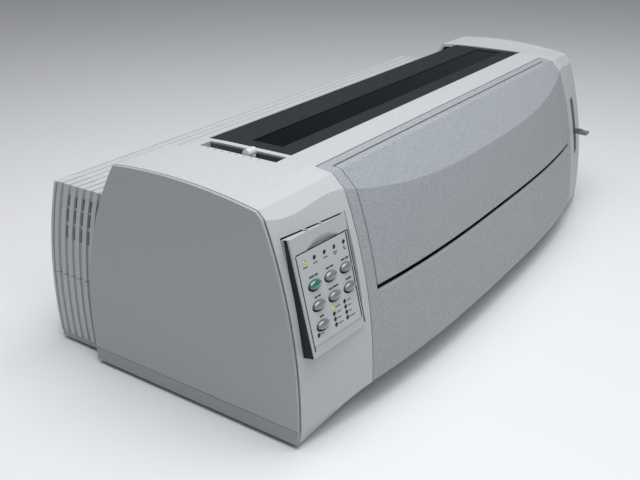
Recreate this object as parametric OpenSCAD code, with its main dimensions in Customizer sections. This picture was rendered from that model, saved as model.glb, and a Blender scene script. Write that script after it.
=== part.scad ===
// Wide-carriage dot matrix printer: casing, hinged covers, controls, print mechanism and paper feed.
// Front is -Y, right is +X, up is +Z. The origin lies on the desk, under the middle of the casing.

/* [Casing] */
// Width over the two side panels
body_w = 592; // [540:1:720]
// Height of the flat top above the desk
body_h = 186.7; // [184:0.1:226]
// Depth from the middle of the front to the rear
body_d = 294; // [290:1:360]
// Wall of the moulded shells
wall = 3; // [2.4:0.1:3.4]
// Width of each end block, from the front frame's seam outwards
end_w = 76; // [74:1:90]
// How far the middle of the front stands ahead of its ends
front_bow = 28; // [18:1:30]
// Radius of the front as seen from the side
lean_r = 410; // [380:5:600]
// Height of the front's foremost line
belly_z = 26; // [20:1:32]
// Radius of the rear of the end blocks as seen from the side
rear_r = 265; // [250:5:300]
// Height of the base pan's side strip
strip_top = 15.5; // [13:0.5:18]
// Height of the desk gap under the base pan
foot_h = 4; // [4:0.5:8]
// Visible gap between neighbouring shells
seam_gap = 0.8; // [0.6:0.1:1]

/* [Covers] */
// Height of the front door's lower edge
door_bottom = 99.5; // [98:0.5:104]
// Height of the paper gap under the door
paper_gap = 5; // [4.5:0.5:6]
// Width of the frame strip at each side of the door
frame_strip = 11.4; // [11:0.2:14]
// Depth of the access cover, front to back
cover_depth = 80; // [76:1:84]
// Thickness of the access cover
cover_t = 3; // [2.6:0.1:3.2]
// Depth of the window in the access cover
window_depth = 30; // [24:1:34]
// Radius of the cover and door hinge pins
hinge_pin_r = 1.5; // [1.2:0.1:1.6]
// Height of the rear cover's flat top below the casing's top
rear_drop = 35.2; // [34:0.2:38]
// Height of the seam across the rear
rear_seam_z = 67.3; // [62:0.5:72]

/* [Controls] */
// Width of the operator panel
panel_w = 61; // [60:0.5:62]
// Height of the operator panel along its slope
panel_h = 86; // [84:0.5:88]
// Half the width of an oval button
button_a = 6.8; // [5.6:0.1:7]
// Half the height of an oval button
button_b = 3.6; // [3.2:0.1:4.4]
// Travel of a button
button_travel = 1.5; // [1:0.1:2]
// Radius of an indicator lamp
lamp_r = 1.5; // [1.2:0.1:1.7]
// Width of the levers' flat arms
lever_t = 4; // [3.4:0.1:4.2]

/* [Mechanism] */
// Radius of the rubber platen
platen_r = 17; // [16:0.2:17.4]
// Radius of the platen's steel shaft
platen_shaft_r = 5; // [4:0.1:6]
// Radius of the rod that the carriage runs on
rod_r = 6; // [5:0.1:6.5]
// Radial clearance of a running fit
run_gap = 0.05; // [0.02:0.01:0.09]
// Thickness of the frame side plates
plate_t = 2; // [1.6:0.1:2.4]
// Gear module
gear_mod = 1.5; // [1.4:0.05:1.6]
// Teeth of the platen, idler and tractor gears
gear_teeth = 24; // [22:1:24]
// Teeth of the motor pinion
pinion_teeth = 12; // [12:1:14]
// Radius of the carriage belt pulleys
pulley_r = 8; // [7:0.2:9]
// Distance of the parked carriage from the casing's middle
carriage_x = 150; // [120:1:160]
// Distance of each tractor from the casing's middle
tractor_x = 185; // [150:1:190]

/* [Hidden] */
$fn = 48;
eps = 0.01;
far = 900;

// ---- Casing surfaces: where the skin lies at a distance x from the middle ----
half_w = body_w / 2;
front_reach = body_d / 2;
rear_reach = body_d / 2;
seam_x = half_w - end_w;
skin_x = half_w - wall - 0.2;
bow_power = 2.8;
brow_y = -front_reach + 50;
brow_drop = 2.3;
corner_drop = 6.3;
corner_back = 9.8;
crown_r = 450;
rear_belly_z = 38;
end_rear_y = rear_reach - 57.8;
frame_y = brow_y + 15;
lower_edge = 23;
band_rise = 7.5;
band_foot_y = brow_y - 21.4;
band_foot_z = 4.2;
pan_front_y = band_foot_y + wall + 0.6;

function ease(t) = t * t * (3 - 2 * t);
function end_share(x) = ease(min(1, max(0, (abs(x) - seam_x) / end_w)));
function bow(x) = front_bow * pow(min(1, abs(x) / half_w), bow_power);
function lean(z) = z > belly_z ? lean_r - sqrt(lean_r * lean_r - pow(z - belly_z, 2)) : 0;
function front_y(x, z) = -front_reach + bow(x) + lean(z);
function end_back_y(z) = end_rear_y - rear_r + sqrt(rear_r * rear_r - pow(z - rear_belly_z, 2));
function top_z(x, y) = body_h - y * y / (2 * crown_r) * (y < 0 ? end_share(x) : 1);

// Upper edge of the sloped facet, and its lower edge where it meets the front; d is the depth in the wall
function brow(x, d) = [brow_y + corner_back * end_share(x) + (sqrt(2) - 1) * d,
    body_h - brow_drop - corner_drop * end_share(x) - d];
function facet_z(x, y, d) = brow(x, 0)[1] + y - brow(x, 0)[0] - sqrt(2) * d;
function chin_z(x, d, z, n) = n == 0 ? z : chin_z(x, d, facet_z(x, front_y(x, z) + d, d), n - 1);
function chin(x, d) = let (z = chin_z(x, d, body_h - 25, 12)) [front_y(x, z) + d, z];

steps = 8;
function skin_front(x, d, foot) = let (c = chin(x, d))
    [for (i = [0 : steps]) let (z = c[1] + (foot - c[1]) * i / steps) [front_y(x, z) + d, z]];
function skin_rear(x, d) = let (head = body_h - 2.2 - d)
    [for (i = [0 : steps]) let (z = strip_top + (head - strip_top) * i / steps) [end_back_y(z) - d, z]];
function skin_top(x, d) = let (y0 = end_back_y(body_h - 2.2) - 12)
    [for (i = [0 : steps]) let (y = y0 + (frame_y - y0) * i / steps) [y, top_z(x, y) - d]];
function band_top(x) = lower_edge - band_rise * end_share(x);
function arch(x, d) = concat(skin_rear(x, d), skin_top(x, d), [brow(x, d)],
    skin_front(x, d, band_top(x)), [[band_foot_y + d, band_foot_z]]);
function reversed(list) = [for (i = [len(list) - 1 : -1 : 0]) list[i]];
function shell_wall(outer, inner) = concat(outer, reversed(inner));

// Wall through outlines in the side view, each given as [x, outer skin and back along the inner skin].
// Each end is a row of quads from one skin to the other
module loft(sections) {
    n = len(sections[0][1]);
    m = len(sections);
    points = [for (s = sections) for (p = s[1]) [s[0], p[0], p[1]]];
    near = [for (i = [0 : n / 2 - 2]) [i, i + 1, n - 2 - i, n - 1 - i]];
    away = [for (q = near) [for (i = reversed(q)) (m - 1) * n + i]];
    sides = [for (k = [0 : m - 2]) for (i = [0 : n - 1])
        let (j = (i + 1) % n, a = k * n + i, b = k * n + j, c = b + n, d = a + n)
        each [[a, d, c], [a, c, b]]];
    polyhedron(points, concat(sides, near, away), convexity = 8);
}

// Draws an outline of the side view (y, z) and extrudes it along +X
module side_view(x, length) {
    translate([x, 0, 0]) rotate([90, 0, 90]) linear_extrude(length) children();
}
module rod_x(x0, x1, at, r) {
    translate([x0, at[0], at[1]]) rotate([0, 90, 0]) cylinder(h = x1 - x0, r = r);
}
module block(low, high) {
    translate(low) cube(high - low);
}
module mirrored() {
    children();
    mirror([1, 0, 0]) children();
}

// ---- Places shared by the covers and the mechanism ----
door_top = brow_y + 6.2;
door_lift_gap = 1.3;
skin_drop = 0.1;
door_x = seam_x - frame_strip - seam_gap;
door_pin = [brow_y + 4, body_h - 4.4];
pin_boss_r = hinge_pin_r + 1.2;
pin_reach = 5.5;
pin_hole = pin_reach + 0.3;
cover_y0 = brow_y + 44;
cover_y1 = cover_y0 + cover_depth;
cover_x0 = -seam_x + 10.5;
cover_x1 = seam_x + 15.5;
cover_top = body_h - 1;
cover_pin = [cover_y1 - 2.4, cover_top - pin_boss_r - 0.3];
slot_x0 = -seam_x - 9;
slot_x1 = -seam_x + 4;
slot_y1 = cover_y0 + 73;
rear_x = half_w - 10.5;
rear_top_z = body_h - rear_drop;
rear_skin_r = 330;
rear_skin_belly = 40;
pan_top = foot_h + wall;
rear_foot_z = pan_top + 2;

frame_x = seam_x + 11;
platen_at = [cover_y0 + 55, body_h - 78.7];
platen_half = frame_x - 16;
rod_at = platen_at + [-40, -22];
rail_y0 = rod_at[0] - 58;
rail_y1 = rod_at[0] - 46;
rail_z = platen_at[1] - 32;
belt_z = platen_at[1] - 40;
belt_y = rod_at[0] - 24;
pulley_x = frame_x - 26;

gear_r = gear_mod * gear_teeth / 2;
pinion_r = gear_mod * pinion_teeth / 2;
gear_gap = 0.2;
gear_x0 = frame_x - 11;
gear_t = 6;
idler_angle = -8;
tractor_angle = -2;
pinion_angle = -90;
function polar(r, a) = r * [cos(a), sin(a)];
idler_at = platen_at + polar(2 * gear_r, idler_angle);
tractor_at = idler_at + polar(2 * gear_r, tractor_angle);
pinion_at = idler_at + polar(gear_r + pinion_r, pinion_angle);
// Turn of each gear that puts its teeth in mesh with the gear before it
function meshed(turn, angle, teeth, next) = angle + 180 + 180 / next - (turn - angle) * teeth / next;
idler_turn = meshed(idler_angle, idler_angle, gear_teeth, gear_teeth);
tractor_turn = meshed(idler_turn, tractor_angle, gear_teeth, gear_teeth);
pinion_turn = meshed(idler_turn, pinion_angle, gear_teeth, pinion_teeth);

rod2_at = tractor_at + [36, 0];
tractor_r = 13;
bail_at = platen_at + polar(platen_r + 6.3, 105);
bail_pivot = platen_at + [22, 10];
bail_arm_x = frame_x - 3.5;
thick_pivot = platen_at + [-20, 20];
select_x = seam_x + 30;
select_pivot = platen_at + [-62, -4];

// ---- Casing ----
module base_pan() color("gray") {
    end_y1 = end_back_y(strip_top);
    difference() {
        union() {
            block([-half_w, pan_front_y, foot_h], [half_w, end_y1, strip_top]);
            mirrored() block([skin_x, band_foot_y - 0.2, foot_h], [half_w, pan_front_y + 1, strip_top]);
            block([-rear_x, end_y1 - wall, foot_h], [rear_x, rear_reach - 3.5, rear_foot_z]);
        }
        block([-half_w + wall, pan_front_y + wall, pan_top], [half_w - wall, end_y1 - wall, far]);
        block([-rear_x + wall, end_y1 - 2 * wall, pan_top], [rear_x - wall, rear_reach - 3.5 - wall, far]);
        for (p = floor_screws) translate([p[0], p[1], 0]) cylinder(h = far, r = screw_r);
    }
    for (x = [-70, 50, 160]) for (y = [-70, 90]) translate([x, y, foot_h])
        cylinder(h = board_z - foot_h, r = 4);
}

module feet() color("dimgray") for (p = [[half_w - 12, pan_front_y + 10], [rear_x - 16, rear_reach - 26]])
    mirrored() translate([p[0], p[1], 0]) cylinder(h = foot_h, r = 8);

end_xs = [for (i = [0 : 6]) seam_x + (skin_x - seam_x) * i / 6];
slot_half = lever_t / 2 + 0.4;
module end_shell(xs) loft([for (x = xs) [x, shell_wall(arch(x, 0), arch(x, wall))]]);
module left_end_block() color("gainsboro") difference() {
    end_shell(-1 * reversed(end_xs));
    block([slot_x0, cover_y0 - seam_gap, body_h - 60], [0, slot_y1, far]);
    block([-cover_x1 - seam_gap, cover_y1 + seam_gap, -1], [0, far, far]);
    panel_place() block([-panel_w / 2 - panel_gap, -30, -panel_h / 2 - panel_gap],
        [panel_w / 2 + panel_gap, 30, panel_h / 2 + panel_gap]);
}
module right_end_block() color("gainsboro") difference() {
    union() {
        difference() {
            end_shell(end_xs);
            block([0, cover_y0 - seam_gap, -1], [cover_x1 + seam_gap, far, far]);
            block([select_x - slot_half, -far, select_pivot[1] - 25],
                [select_x + slot_half, -60, select_pivot[1] + 33]);
        }
        rod_x(cover_x1 + seam_gap, cover_x1 + 6, cover_pin, pin_boss_r);
    }
    rod_x(cover_x1, cover_x1 + pin_hole, cover_pin, hinge_pin_r + run_gap);
}

function crown(y0, y1, d) = [for (i = [0 : steps]) let (y = y0 + (y1 - y0) * i / steps) [y, top_z(0, y) - d]];
module crown_strip(x0, x1, y0, y1) side_view(x0, x1 - x0)
    polygon(shell_wall(crown(y0, y1, 0), crown(y0, y1, wall)));
// The bar before the access cover, and the rim between the cover and the lever slot
module top_bar() color("gainsboro") difference() {
    union() {
        block([-seam_x, frame_y, body_h - wall], [seam_x, cover_y0 - seam_gap, body_h]);
        crown_strip(slot_x1, cover_x0 - seam_gap, cover_y0 - seam_gap - 1, cover_y1 + seam_gap);
        crown_strip(-seam_x, slot_x1 + 1, slot_y1, cover_y1 + seam_gap);
        rod_x(cover_x0 - 6, cover_x0 - seam_gap, cover_pin, pin_boss_r);
    }
    rod_x(cover_x0 - pin_hole, cover_x0, cover_pin, hinge_pin_r + run_gap);
}

module side_panel(x) {
    side_view(x, half_w - skin_x) polygon(concat(skin_rear(half_w, 0), skin_top(half_w, 0),
        [brow(half_w, 0)], skin_front(half_w, 0, strip_top)));
}
module left_side_panel() color("darkgray") side_panel(-half_w);
module right_side_panel() color("darkgray") side_panel(skin_x);

bow_steps = 5;
frame_xs = [for (i = [-bow_steps : bow_steps]) (seam_x - seam_gap) * i / bow_steps];
function frame_skin(x, d) = concat([[frame_y - seam_gap, body_h - skin_drop - d], brow(x, d)],
    skin_front(x, d, lower_edge + d), [[pan_front_y - 0.2, lower_edge + d]]);
module front_frame() color("gainsboro") difference() {
    union() {
        difference() {
            loft([for (x = frame_xs) [x, shell_wall(frame_skin(x, 0), frame_skin(x, wall))]]);
            block([-door_x - seam_gap, -far, door_bottom - paper_gap],
                [door_x + seam_gap, door_top + door_lift_gap, far]);
        }
        mirrored() rod_x(door_x + seam_gap, door_x + 7, door_pin, pin_boss_r);
    }
    mirrored() rod_x(door_x - 1, door_x + pin_hole, door_pin, hinge_pin_r + run_gap);
}

door_xs = [for (i = [-bow_steps : bow_steps]) door_x * i / bow_steps];
door_chamfer = 0.9;
door_head = body_h - skin_drop - brow_drop * (frame_y - door_top) / (frame_y - brow_y);
function door_skin(x, d) = concat([[door_top, door_head - max(d, door_chamfer)],
    [door_top - door_chamfer, door_head - d]], [brow(x, d)], skin_front(x, d, door_bottom));
module front_door() color("lightgray") {
    loft([for (x = door_xs) [x, shell_wall(door_skin(x, 0), door_skin(x, wall))]]);
    mirrored() block([door_x - 9.3, door_pin[0] - 2.4, door_pin[1] - 3],
        [door_x - 0.4, door_pin[0] + 1.7, door_pin[1] + 1.6]);
    mirrored() rod_x(door_x + 0.02, door_x + pin_reach, door_pin, hinge_pin_r);
}

window_x0 = cover_x0 + 17;
window_x1 = cover_x1 - 7;
window_y0 = cover_y0 + 20;
window_y1 = window_y0 + window_depth;
module access_cover() color("darkslategray") difference() {
    union() {
        block([cover_x0, cover_y0, cover_top - cover_t], [cover_x1, cover_y1, cover_top]);
        rod_x(cover_x0, cover_x0 + 9, cover_pin, pin_boss_r);
        rod_x(cover_x1 - 9, cover_x1, cover_pin, pin_boss_r);
        rod_x(cover_x0 - pin_reach, cover_x0 + 1, cover_pin, hinge_pin_r);
        rod_x(cover_x1 - 1, cover_x1 + pin_reach, cover_pin, hinge_pin_r);
    }
    block([window_x0, window_y0, 0], [window_x1, window_y1, far]);
}
module cover_window() color([0.05, 0.06, 0.07, 0.6])
    block([window_x0, window_y0, cover_top - cover_t], [window_x1, window_y1, cover_top - 1]);

function rear_skin_y(z, d) = rear_reach - d - rear_skin_r
    + sqrt(rear_skin_r * rear_skin_r - pow(z - rear_skin_belly, 2));
function rear_curve(z0, z1, d) = [for (i = [0 : steps]) let (z = z0 + (z1 - z0) * i / steps)
    [rear_skin_y(z, d), z]];
rear_front_y = cover_y1 + 30;
rib_pitch = 8.4;
vent_w = 3;
vent_h = 9;
vent_step = 13;
panel_seam = 0.2;
// Space that the end blocks take out of the rear shells
module end_block_space(grow) {
    back = [for (i = [0 : steps]) let (z = body_h * i / steps) [end_back_y(z) + grow, z]];
    mirrored() side_view(cover_x1 - 3, far) polygon(concat(back, [[0, body_h], [0, 0]]));
    mirrored() block([cover_x1, 0, 0], [far, end_back_y(strip_top) + grow, strip_top + grow]);
}
module rear_cover() color("gainsboro") {
    difference() {
        side_view(-rear_x, 2 * rear_x) polygon(concat(rear_curve(rear_seam_z, rear_top_z, 0),
            [[rear_front_y, rear_top_z], [rear_front_y, rear_seam_z]]));
        side_view(-rear_x + wall, 2 * rear_x - 2 * wall) polygon(concat(
            rear_curve(rear_seam_z - 1, rear_top_z - wall, wall),
            [[0, rear_top_z - wall], [0, rear_seam_z - 1]]));
        end_block_space(0.4);
        mirrored() for (i = [0 : 3]) for (j = [0 : 2])
            translate([rear_x - wall - 1, rear_front_y + 20 + rib_pitch * i, rear_top_z - 20 - vent_step * j])
                cube([wall + 2, vent_w, vent_h]);
    }
    for (i = [0 : 2]) translate([-rear_x + 1, rear_reach - 41 + rib_pitch * i, rear_top_z])
        cube([2 * rear_x - 2, 4, 1]);
}
module rear_panel() color("gainsboro") difference() {
    side_view(-rear_x, 2 * rear_x) polygon(concat(rear_curve(rear_foot_z, rear_seam_z - panel_seam, 0),
        [[end_rear_y - 5, rear_seam_z - panel_seam], [end_rear_y - 5, rear_foot_z]]));
    side_view(-rear_x + wall, 2 * rear_x - 2 * wall) polygon(concat(
        rear_curve(rear_foot_z - 1, rear_seam_z + 1, wall), [[0, rear_seam_z + 1], [0, rear_foot_z - 1]]));
    end_block_space(0.4);
    block(inlet_low - [0.2, 1, 0.2], inlet_high + [0.2, 99, 0.2]);
    block([inlet_high[0], switch_low[1] - 5, switch_low[2] - 2.2], switch_high + [2.2, 99, 2.2]);
    block([port_x - port_gap, 60, board_z], [port_x + port_w + port_gap, far, board_z + 17]);
    for (p = rear_screws) translate([p[0], rear_skin_y(p[1], 0), p[1]]) rotate([-90, 0, 0]) {
        translate([0, 0, -9]) cylinder(h = 20, r = screw_r);
        translate([0, 0, -0.5]) cylinder(h = 9, r = screw_head_r + 0.3);
    }
}

guide_head = [cover_y1 + 9, body_h - 14];
module exit_guide() color("lightgray") side_view(-seam_x - 6, 2 * seam_x + 12) polygon([
    guide_head, guide_head + [2, 0], [rear_front_y + 4, rear_top_z + 1.6],
    [rear_front_y + 14, rear_top_z + 1.6],
    [rear_front_y + 14, rear_top_z], [rear_front_y + 2.5, rear_top_z]]);

// ---- Operator panel: a flat block set into the left end, leaning back and turned outwards a little ----
panel_lean = 14.3;
panel_turn = 4.2;
panel_at = [-half_w + 39, -front_reach + 27.3, body_h - 68.8];
panel_t = 3;
panel_depth = 13;
panel_gap = 0.3;
columns = [-15, 2.6, 20.1];
rows = [6.2, -8.7, -23.2];
block_columns = [-1.8, 11.4];
block_rows = [-17, -21.1, -25.2, -29.3];
top_lamps = [for (i = [0 : 4]) [-21.1 + 10.9 * i, 24]];
module panel_place() translate(panel_at) rotate([-panel_lean, 0, -panel_turn]) children();
module at_panel(p) panel_place() translate([p[0], 0, p[1]]) children();
button_spots = [for (z = [0 : 1]) for (x = [0 : 2]) [columns[x], rows[z]], [columns[0], rows[2]]];
lit_spots = [top_lamps[0], [block_columns[0], block_rows[0]]];
dark_spots = concat([for (i = [1 : 4]) top_lamps[i]],
    [for (i = [1 : 3]) [block_columns[0], block_rows[i]]],
    [for (z = block_rows) [block_columns[1], z]], [[columns[0] - 6.4, rows[2] - 5.8]]);

module operator_panel() color("silver") {
    difference() {
        panel_place() block([-panel_w / 2, 0, -panel_h / 2], [panel_w / 2, panel_depth, panel_h / 2]);
        panel_place() block([-panel_w / 2 + 2, panel_t, -panel_h / 2 + 2],
            [panel_w / 2 - 2, panel_depth + 1, panel_h / 2 - 2]);
        for (p = button_spots) at_panel(p) translate([0, panel_t + 1, 0])
            rotate([90, 0, 0]) linear_extrude(panel_t + 2) oval_outline(button_a + 0.4, button_b + 0.4);
        for (p = concat(lit_spots, dark_spots)) at_panel(p) translate([0, panel_t + 1, 0])
            rotate([90, 0, 0]) cylinder(h = panel_t + 2, r = lamp_r);
    }
}
// Oval made of two arcs of the flat sides and two of the ends, so that it stays exact
module oval_outline(a, b) {
    big = (a * a + b * b) / (2 * b) ;
    intersection() {
        translate([0, b - big]) circle(r = big, $fn = 96);
        translate([0, big - b]) circle(r = big, $fn = 96);
        square([2 * a - 0.6, 4 * b], center = true);
    }
}
board_gap = 4;
module panel_board() panel_place()
    block([-panel_w / 2 + 5, panel_t + board_gap, -panel_h / 2 + 5],
        [panel_w / 2 - 5, panel_t + board_gap + board_t, panel_h / 2 - 12]);
module lamps(spots) for (p = spots) at_panel(p) translate([0, panel_t + board_gap, 0]) rotate([90, 0, 0])
    cylinder(h = panel_t + board_gap + 0.3, r = lamp_r);
module lit_lamps() color("greenyellow") lamps(lit_spots);
module dark_lamps() color("black") lamps(dark_spots);
dome_r = 15;
dome_h = 1.5;
module button(i) at_panel(button_spots[i]) rotate([90, 0, 0]) {
    translate([0, 0, -panel_t - 0.4]) linear_extrude(panel_t + 2) oval_outline(button_a, button_b);
    translate([0, 0, -panel_t - board_gap + button_travel + 0.2]) cylinder(h = board_gap, r = 1.6);
    translate([0, 0, 1.6]) intersection() {
        linear_extrude(4) oval_outline(button_a, button_b);
        translate([0, 0, dome_h - dome_r]) sphere(r = dome_r, $fn = 96);
    }
}
module start_button() color("teal") button(0);
module line_button() color("slategray") button(1);
module form_button() color("slategray") button(2);
module tear_button() color("slategray") button(3);
module load_button() color("slategray") button(4);
module tractor_button() color("slategray") button(5);
module setup_button() color("slategray") button(6);

// ---- Levers ----
thick_x0 = (slot_x0 + slot_x1) / 2 - lever_t / 2;
thick_tip = [cover_y0 + 28, body_h - 2];
module arm(from, to, w) hull() {
    translate(from) circle(d = w);
    translate(to) circle(d = w);
}
module thickness_lever() color("lightgray") difference() {
    union() {
        side_view(thick_x0, lever_t) arm(thick_pivot, thick_tip, 7);
        rod_x(thick_x0 - 1.6, thick_x0 + lever_t, thick_pivot, hub_r);
        rod_x(slot_x0 + 0.9, slot_x0 + 10.5, thick_tip + [0, 2.6], knob_r);
    }
    rod_x(thick_x0 - 3, thick_x0 + lever_t + 1, thick_pivot, stud_r + run_gap);
}
stud_r = 3;
hub_r = 6;
knob_r = 3.4;
select_root = [front_y(select_x, select_pivot[1]) + 6, select_pivot[1] - 1];
select_tip = select_root + [-22, -2];
module select_lever() color("darkgray") difference() {
    union() {
        side_view(select_x - lever_t / 2 + 0.5, lever_t - 1)
            arm(select_pivot, select_root + [-14, -1.4], 6);
        rod_x(select_x - 3, select_x + 3, select_pivot, hub_r);
        translate([select_x - 5, select_tip[0], select_tip[1] - 1.5]) cube([10, 9, 3]);
    }
    rod_x(select_x - 4, select_x + 4, select_pivot, stud_r + run_gap);
}

// ---- Frame ----
screw_r = 2;
screw_head_r = 3.6;
flange_w = 14;
flange_t = 2;
floor_screws = [for (x = [-1, 1]) for (y = [-70, 70]) [x * (frame_x + flange_w / 2 + 1), y]];
rear_screws = [for (x = [-1, 1]) for (z = [18, 60]) [x * (rear_x - 14), z]];
plate_edge = [[rail_y0 - 3, pan_top], [rod2_at[0] + 9, pan_top], [rod2_at[0] + 9, rod2_at[1] + 8],
    [tractor_at[0] - 8, tractor_at[1] + 14], [bail_pivot[0] + 8, bail_pivot[1] + 8],
    [bail_pivot[0] - 4, bail_pivot[1] + 10], [platen_at[0] - 4, platen_at[1] + 9],
    [thick_pivot[0] + 8, thick_pivot[1] + 8], [thick_pivot[0] - 8, thick_pivot[1] + 8],
    [select_pivot[0] - 10, select_pivot[1] + 10], [rail_y0 - 3, rail_z + 8]];
bush_r = 8;
module frame_plate() {
    difference() {
        union() {
            side_view(frame_x, plate_t) polygon(plate_edge);
            block([frame_x, -86, pan_top], [frame_x + flange_w, 80, pan_top + flange_t]);
            rod_x(bail_arm_x - 1, frame_x + 0.5, bail_pivot, stud_r);
        }
        rod_x(0, far, platen_at, bush_r);
        rod_x(0, far, tractor_at, bush_r);
        rod_x(0, far, rod_at, rod_r);
        rod_x(0, far, rod2_at, rod2_r);
        for (y = [-70, 70]) translate([frame_x + flange_w / 2 + 1, y, 0])
            cylinder(h = pan_top + 10, r = screw_r);
    }
}
rod2_r = 4;
module left_frame_plate() color("silver") {
    mirror([1, 0, 0]) frame_plate();
    rod_x(-frame_x - 0.5, thick_x0 + lever_t + 1, thick_pivot, stud_r);
}
module right_frame_plate() color("silver") {
    difference() {
        frame_plate();
        rod_x(frame_x - 1, far, pinion_at, 6);
        rod_x(frame_x - 1, frame_x + plate_t, idler_at, idler_stud_r);
    }
    rod_x(gear_x0 - 0.5, frame_x + plate_t, idler_at, idler_stud_r);
    rod_x(frame_x + plate_t - 0.5, select_x + 4, select_pivot, stud_r);
}
idler_stud_r = 4;
module carriage_rail() color("silver") {
    block([-frame_x, rail_y0, rail_z], [frame_x, rail_y1, rail_z + 3]);
    block([-frame_x, rail_y0, rail_z - 10], [frame_x, rail_y0 + 2, rail_z + 3]);
}
module paper_guide() color("gray") {
    guide_sheet();
    guide_legs();
}
guide_half = platen_half - 18;
module guide_sheet() let (under = belt_z - 6, head = [front_y(guide_half, door_bottom) + 12, door_bottom - 6])
    side_view(-guide_half, 2 * guide_half) polygon([head, head + [18, -26], [head[0] + 24, under],
        [platen_at[0] - 26, under], [platen_at[0] - 6, platen_at[1] - platen_r - 3],
        [platen_at[0] - 6, platen_at[1] - platen_r - 5.5], [platen_at[0] - 25, under - 2],
        [head[0] + 23, under - 2], [head[0] + 16, head[1] - 27], head + [-2, 0]]);
module guide_legs() mirrored() block([180, -64, pan_top], [183, -40, belt_z - 6.5]);

// ---- Platen and paper feed ----
function involute(r, t) = r * [cos(t) + t * PI / 180 * sin(t), sin(t) - t * PI / 180 * cos(t)];
function turned(p, a) = [p[0] * cos(a) - p[1] * sin(a), p[0] * sin(a) + p[1] * cos(a)];
pressure_angle = 20;
module gear(teeth, bore) difference() {
    pitch_r = gear_mod * teeth / 2;
    base_r = pitch_r * cos(pressure_angle);
    tip_r = pitch_r + 0.9 * gear_mod;
    root_r = pitch_r - 1.15 * gear_mod;
    roll = sqrt(pow(tip_r / base_r, 2) - 1) * 180 / PI;
    play = gear_gap / pitch_r * 180 / PI;
    half = 90 / teeth - play + (tan(pressure_angle) * 180 / PI - pressure_angle);
    flank = [for (i = [0 : 3]) turned(involute(base_r, roll * i / 3), -half)];
    tooth = concat([turned([root_r, 0], -half)], flank,
        [for (p = reversed(flank)) [p[0], -p[1]]], [turned([root_r, 0], half)]);
    polygon([for (k = [0 : teeth - 1]) for (p = tooth) turned(p, 360 / teeth * k)]);
    circle(r = bore);
}
module gear_at(at, turn, teeth, bore, x, t) translate([0, at[0], at[1]])
    side_view(x, t) rotate(turn) gear(teeth, bore);

module platen() color("dimgray") difference() {
    rod_x(-platen_half, platen_half, platen_at, platen_r);
    rod_x(-far, far, platen_at, platen_shaft_r);
}
module platen_shaft() color("silver") rod_x(-frame_x - 6, frame_x + 6, platen_at, platen_shaft_r);
module platen_gear() color("ivory")
    gear_at(platen_at, idler_angle, gear_teeth, platen_shaft_r, gear_x0, gear_t);
module shaft_bushes() color("ivory") for (side = [-1, 1]) {
    bush(side, platen_at, platen_shaft_r);
    bush(side, tractor_at, tractor_end_r);
}
module bush(side, at, r) difference() {
    union() {
        rod_x(side * (frame_x + plate_t / 2) - 1.4, side * (frame_x + plate_t / 2) + 1.4, at, bush_r);
        rod_x(side > 0 ? frame_x + plate_t : -frame_x - plate_t - 1.2,
            side > 0 ? frame_x + plate_t + 1.2 : -frame_x - plate_t, at, bush_r + 1.5);
    }
    rod_x(-far, far, at, r + run_gap);
}
tractor_end_r = 4;
module idler_gear() color("ivory")
    gear_at(idler_at, idler_turn, gear_teeth, idler_stud_r + run_gap, gear_x0, gear_t);
module tractor_gear() color("ivory")
    gear_at(tractor_at, tractor_turn, gear_teeth, tractor_end_r, gear_x0, gear_t);
module tractor_shaft() color("silver") {
    rod_x(-frame_x - 5, frame_x + 5, tractor_at, tractor_end_r);
    block([-frame_x + 3, tractor_at[0] - 4, tractor_at[1] - 4],
        [gear_x0 - 1, tractor_at[0] + 4, tractor_at[1] + 4]);
}
module tractor_rod() color("silver") rod_x(-frame_x - plate_t, frame_x + plate_t, rod2_at, rod2_r);
motor_shaft_r = 2.5;
module feed_pinion() color("goldenrod") {
    gear_at(pinion_at, pinion_turn, pinion_teeth, motor_shaft_r - eps, gear_x0, gear_t);
    rod_x(gear_x0 - 1, frame_x + 20, pinion_at, motor_shaft_r);
}
module feed_motor() color("darkslategray") difference() {
    union() {
        rod_x(frame_x + plate_t, frame_x + plate_t + 28, pinion_at, 18);
        rod_x(frame_x - 1, frame_x + plate_t + 1, pinion_at, 6);
    }
    rod_x(frame_x - 2, frame_x + 25, pinion_at, motor_shaft_r + run_gap);
}

tractor_t = 16;
lid_hinge_z = tractor_at[1] + tractor_r + 2.4;
pin_pitch = 12.7;
lid_pin_r = 1.4;
module tractor(x, out) {
    y0 = tractor_at[0] - 10;
    y1 = rod2_at[0] + 10;
    hinge_x = x + out * (tractor_t / 2 + 2);
    difference() {
        union() {
            rod_x(x - tractor_t / 2, x + tractor_t / 2, tractor_at, tractor_r);
            rod_x(x - tractor_t / 2, x + tractor_t / 2, rod2_at, tractor_r);
            block([x - tractor_t / 2, tractor_at[0], tractor_at[1] - tractor_r],
                [x + tractor_t / 2, rod2_at[0], tractor_at[1] + tractor_r]);
            for (y = [y0 + 2, y1 - 7]) block([min(hinge_x - out * 5, hinge_x + out * 3), y, lid_hinge_z - 9],
                [max(hinge_x - out * 5, hinge_x + out * 3), y + 5, lid_hinge_z + 3]);
        }
        rod_x(-far, far, tractor_at, 6);
        rod_x(-far, far, rod2_at, rod2_r + run_gap);
    }
    for (i = [0 : 2]) translate([x, tractor_at[0] + 5 + pin_pitch * i, tractor_at[1] + tractor_r - 1])
        cylinder(h = 4, r1 = 1.9, r2 = 1.2);
    translate([hinge_x, y0 + 4, lid_hinge_z]) rotate([-90, 0, 0]) cylinder(h = y1 - y0 - 8, r = lid_pin_r);
}
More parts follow.
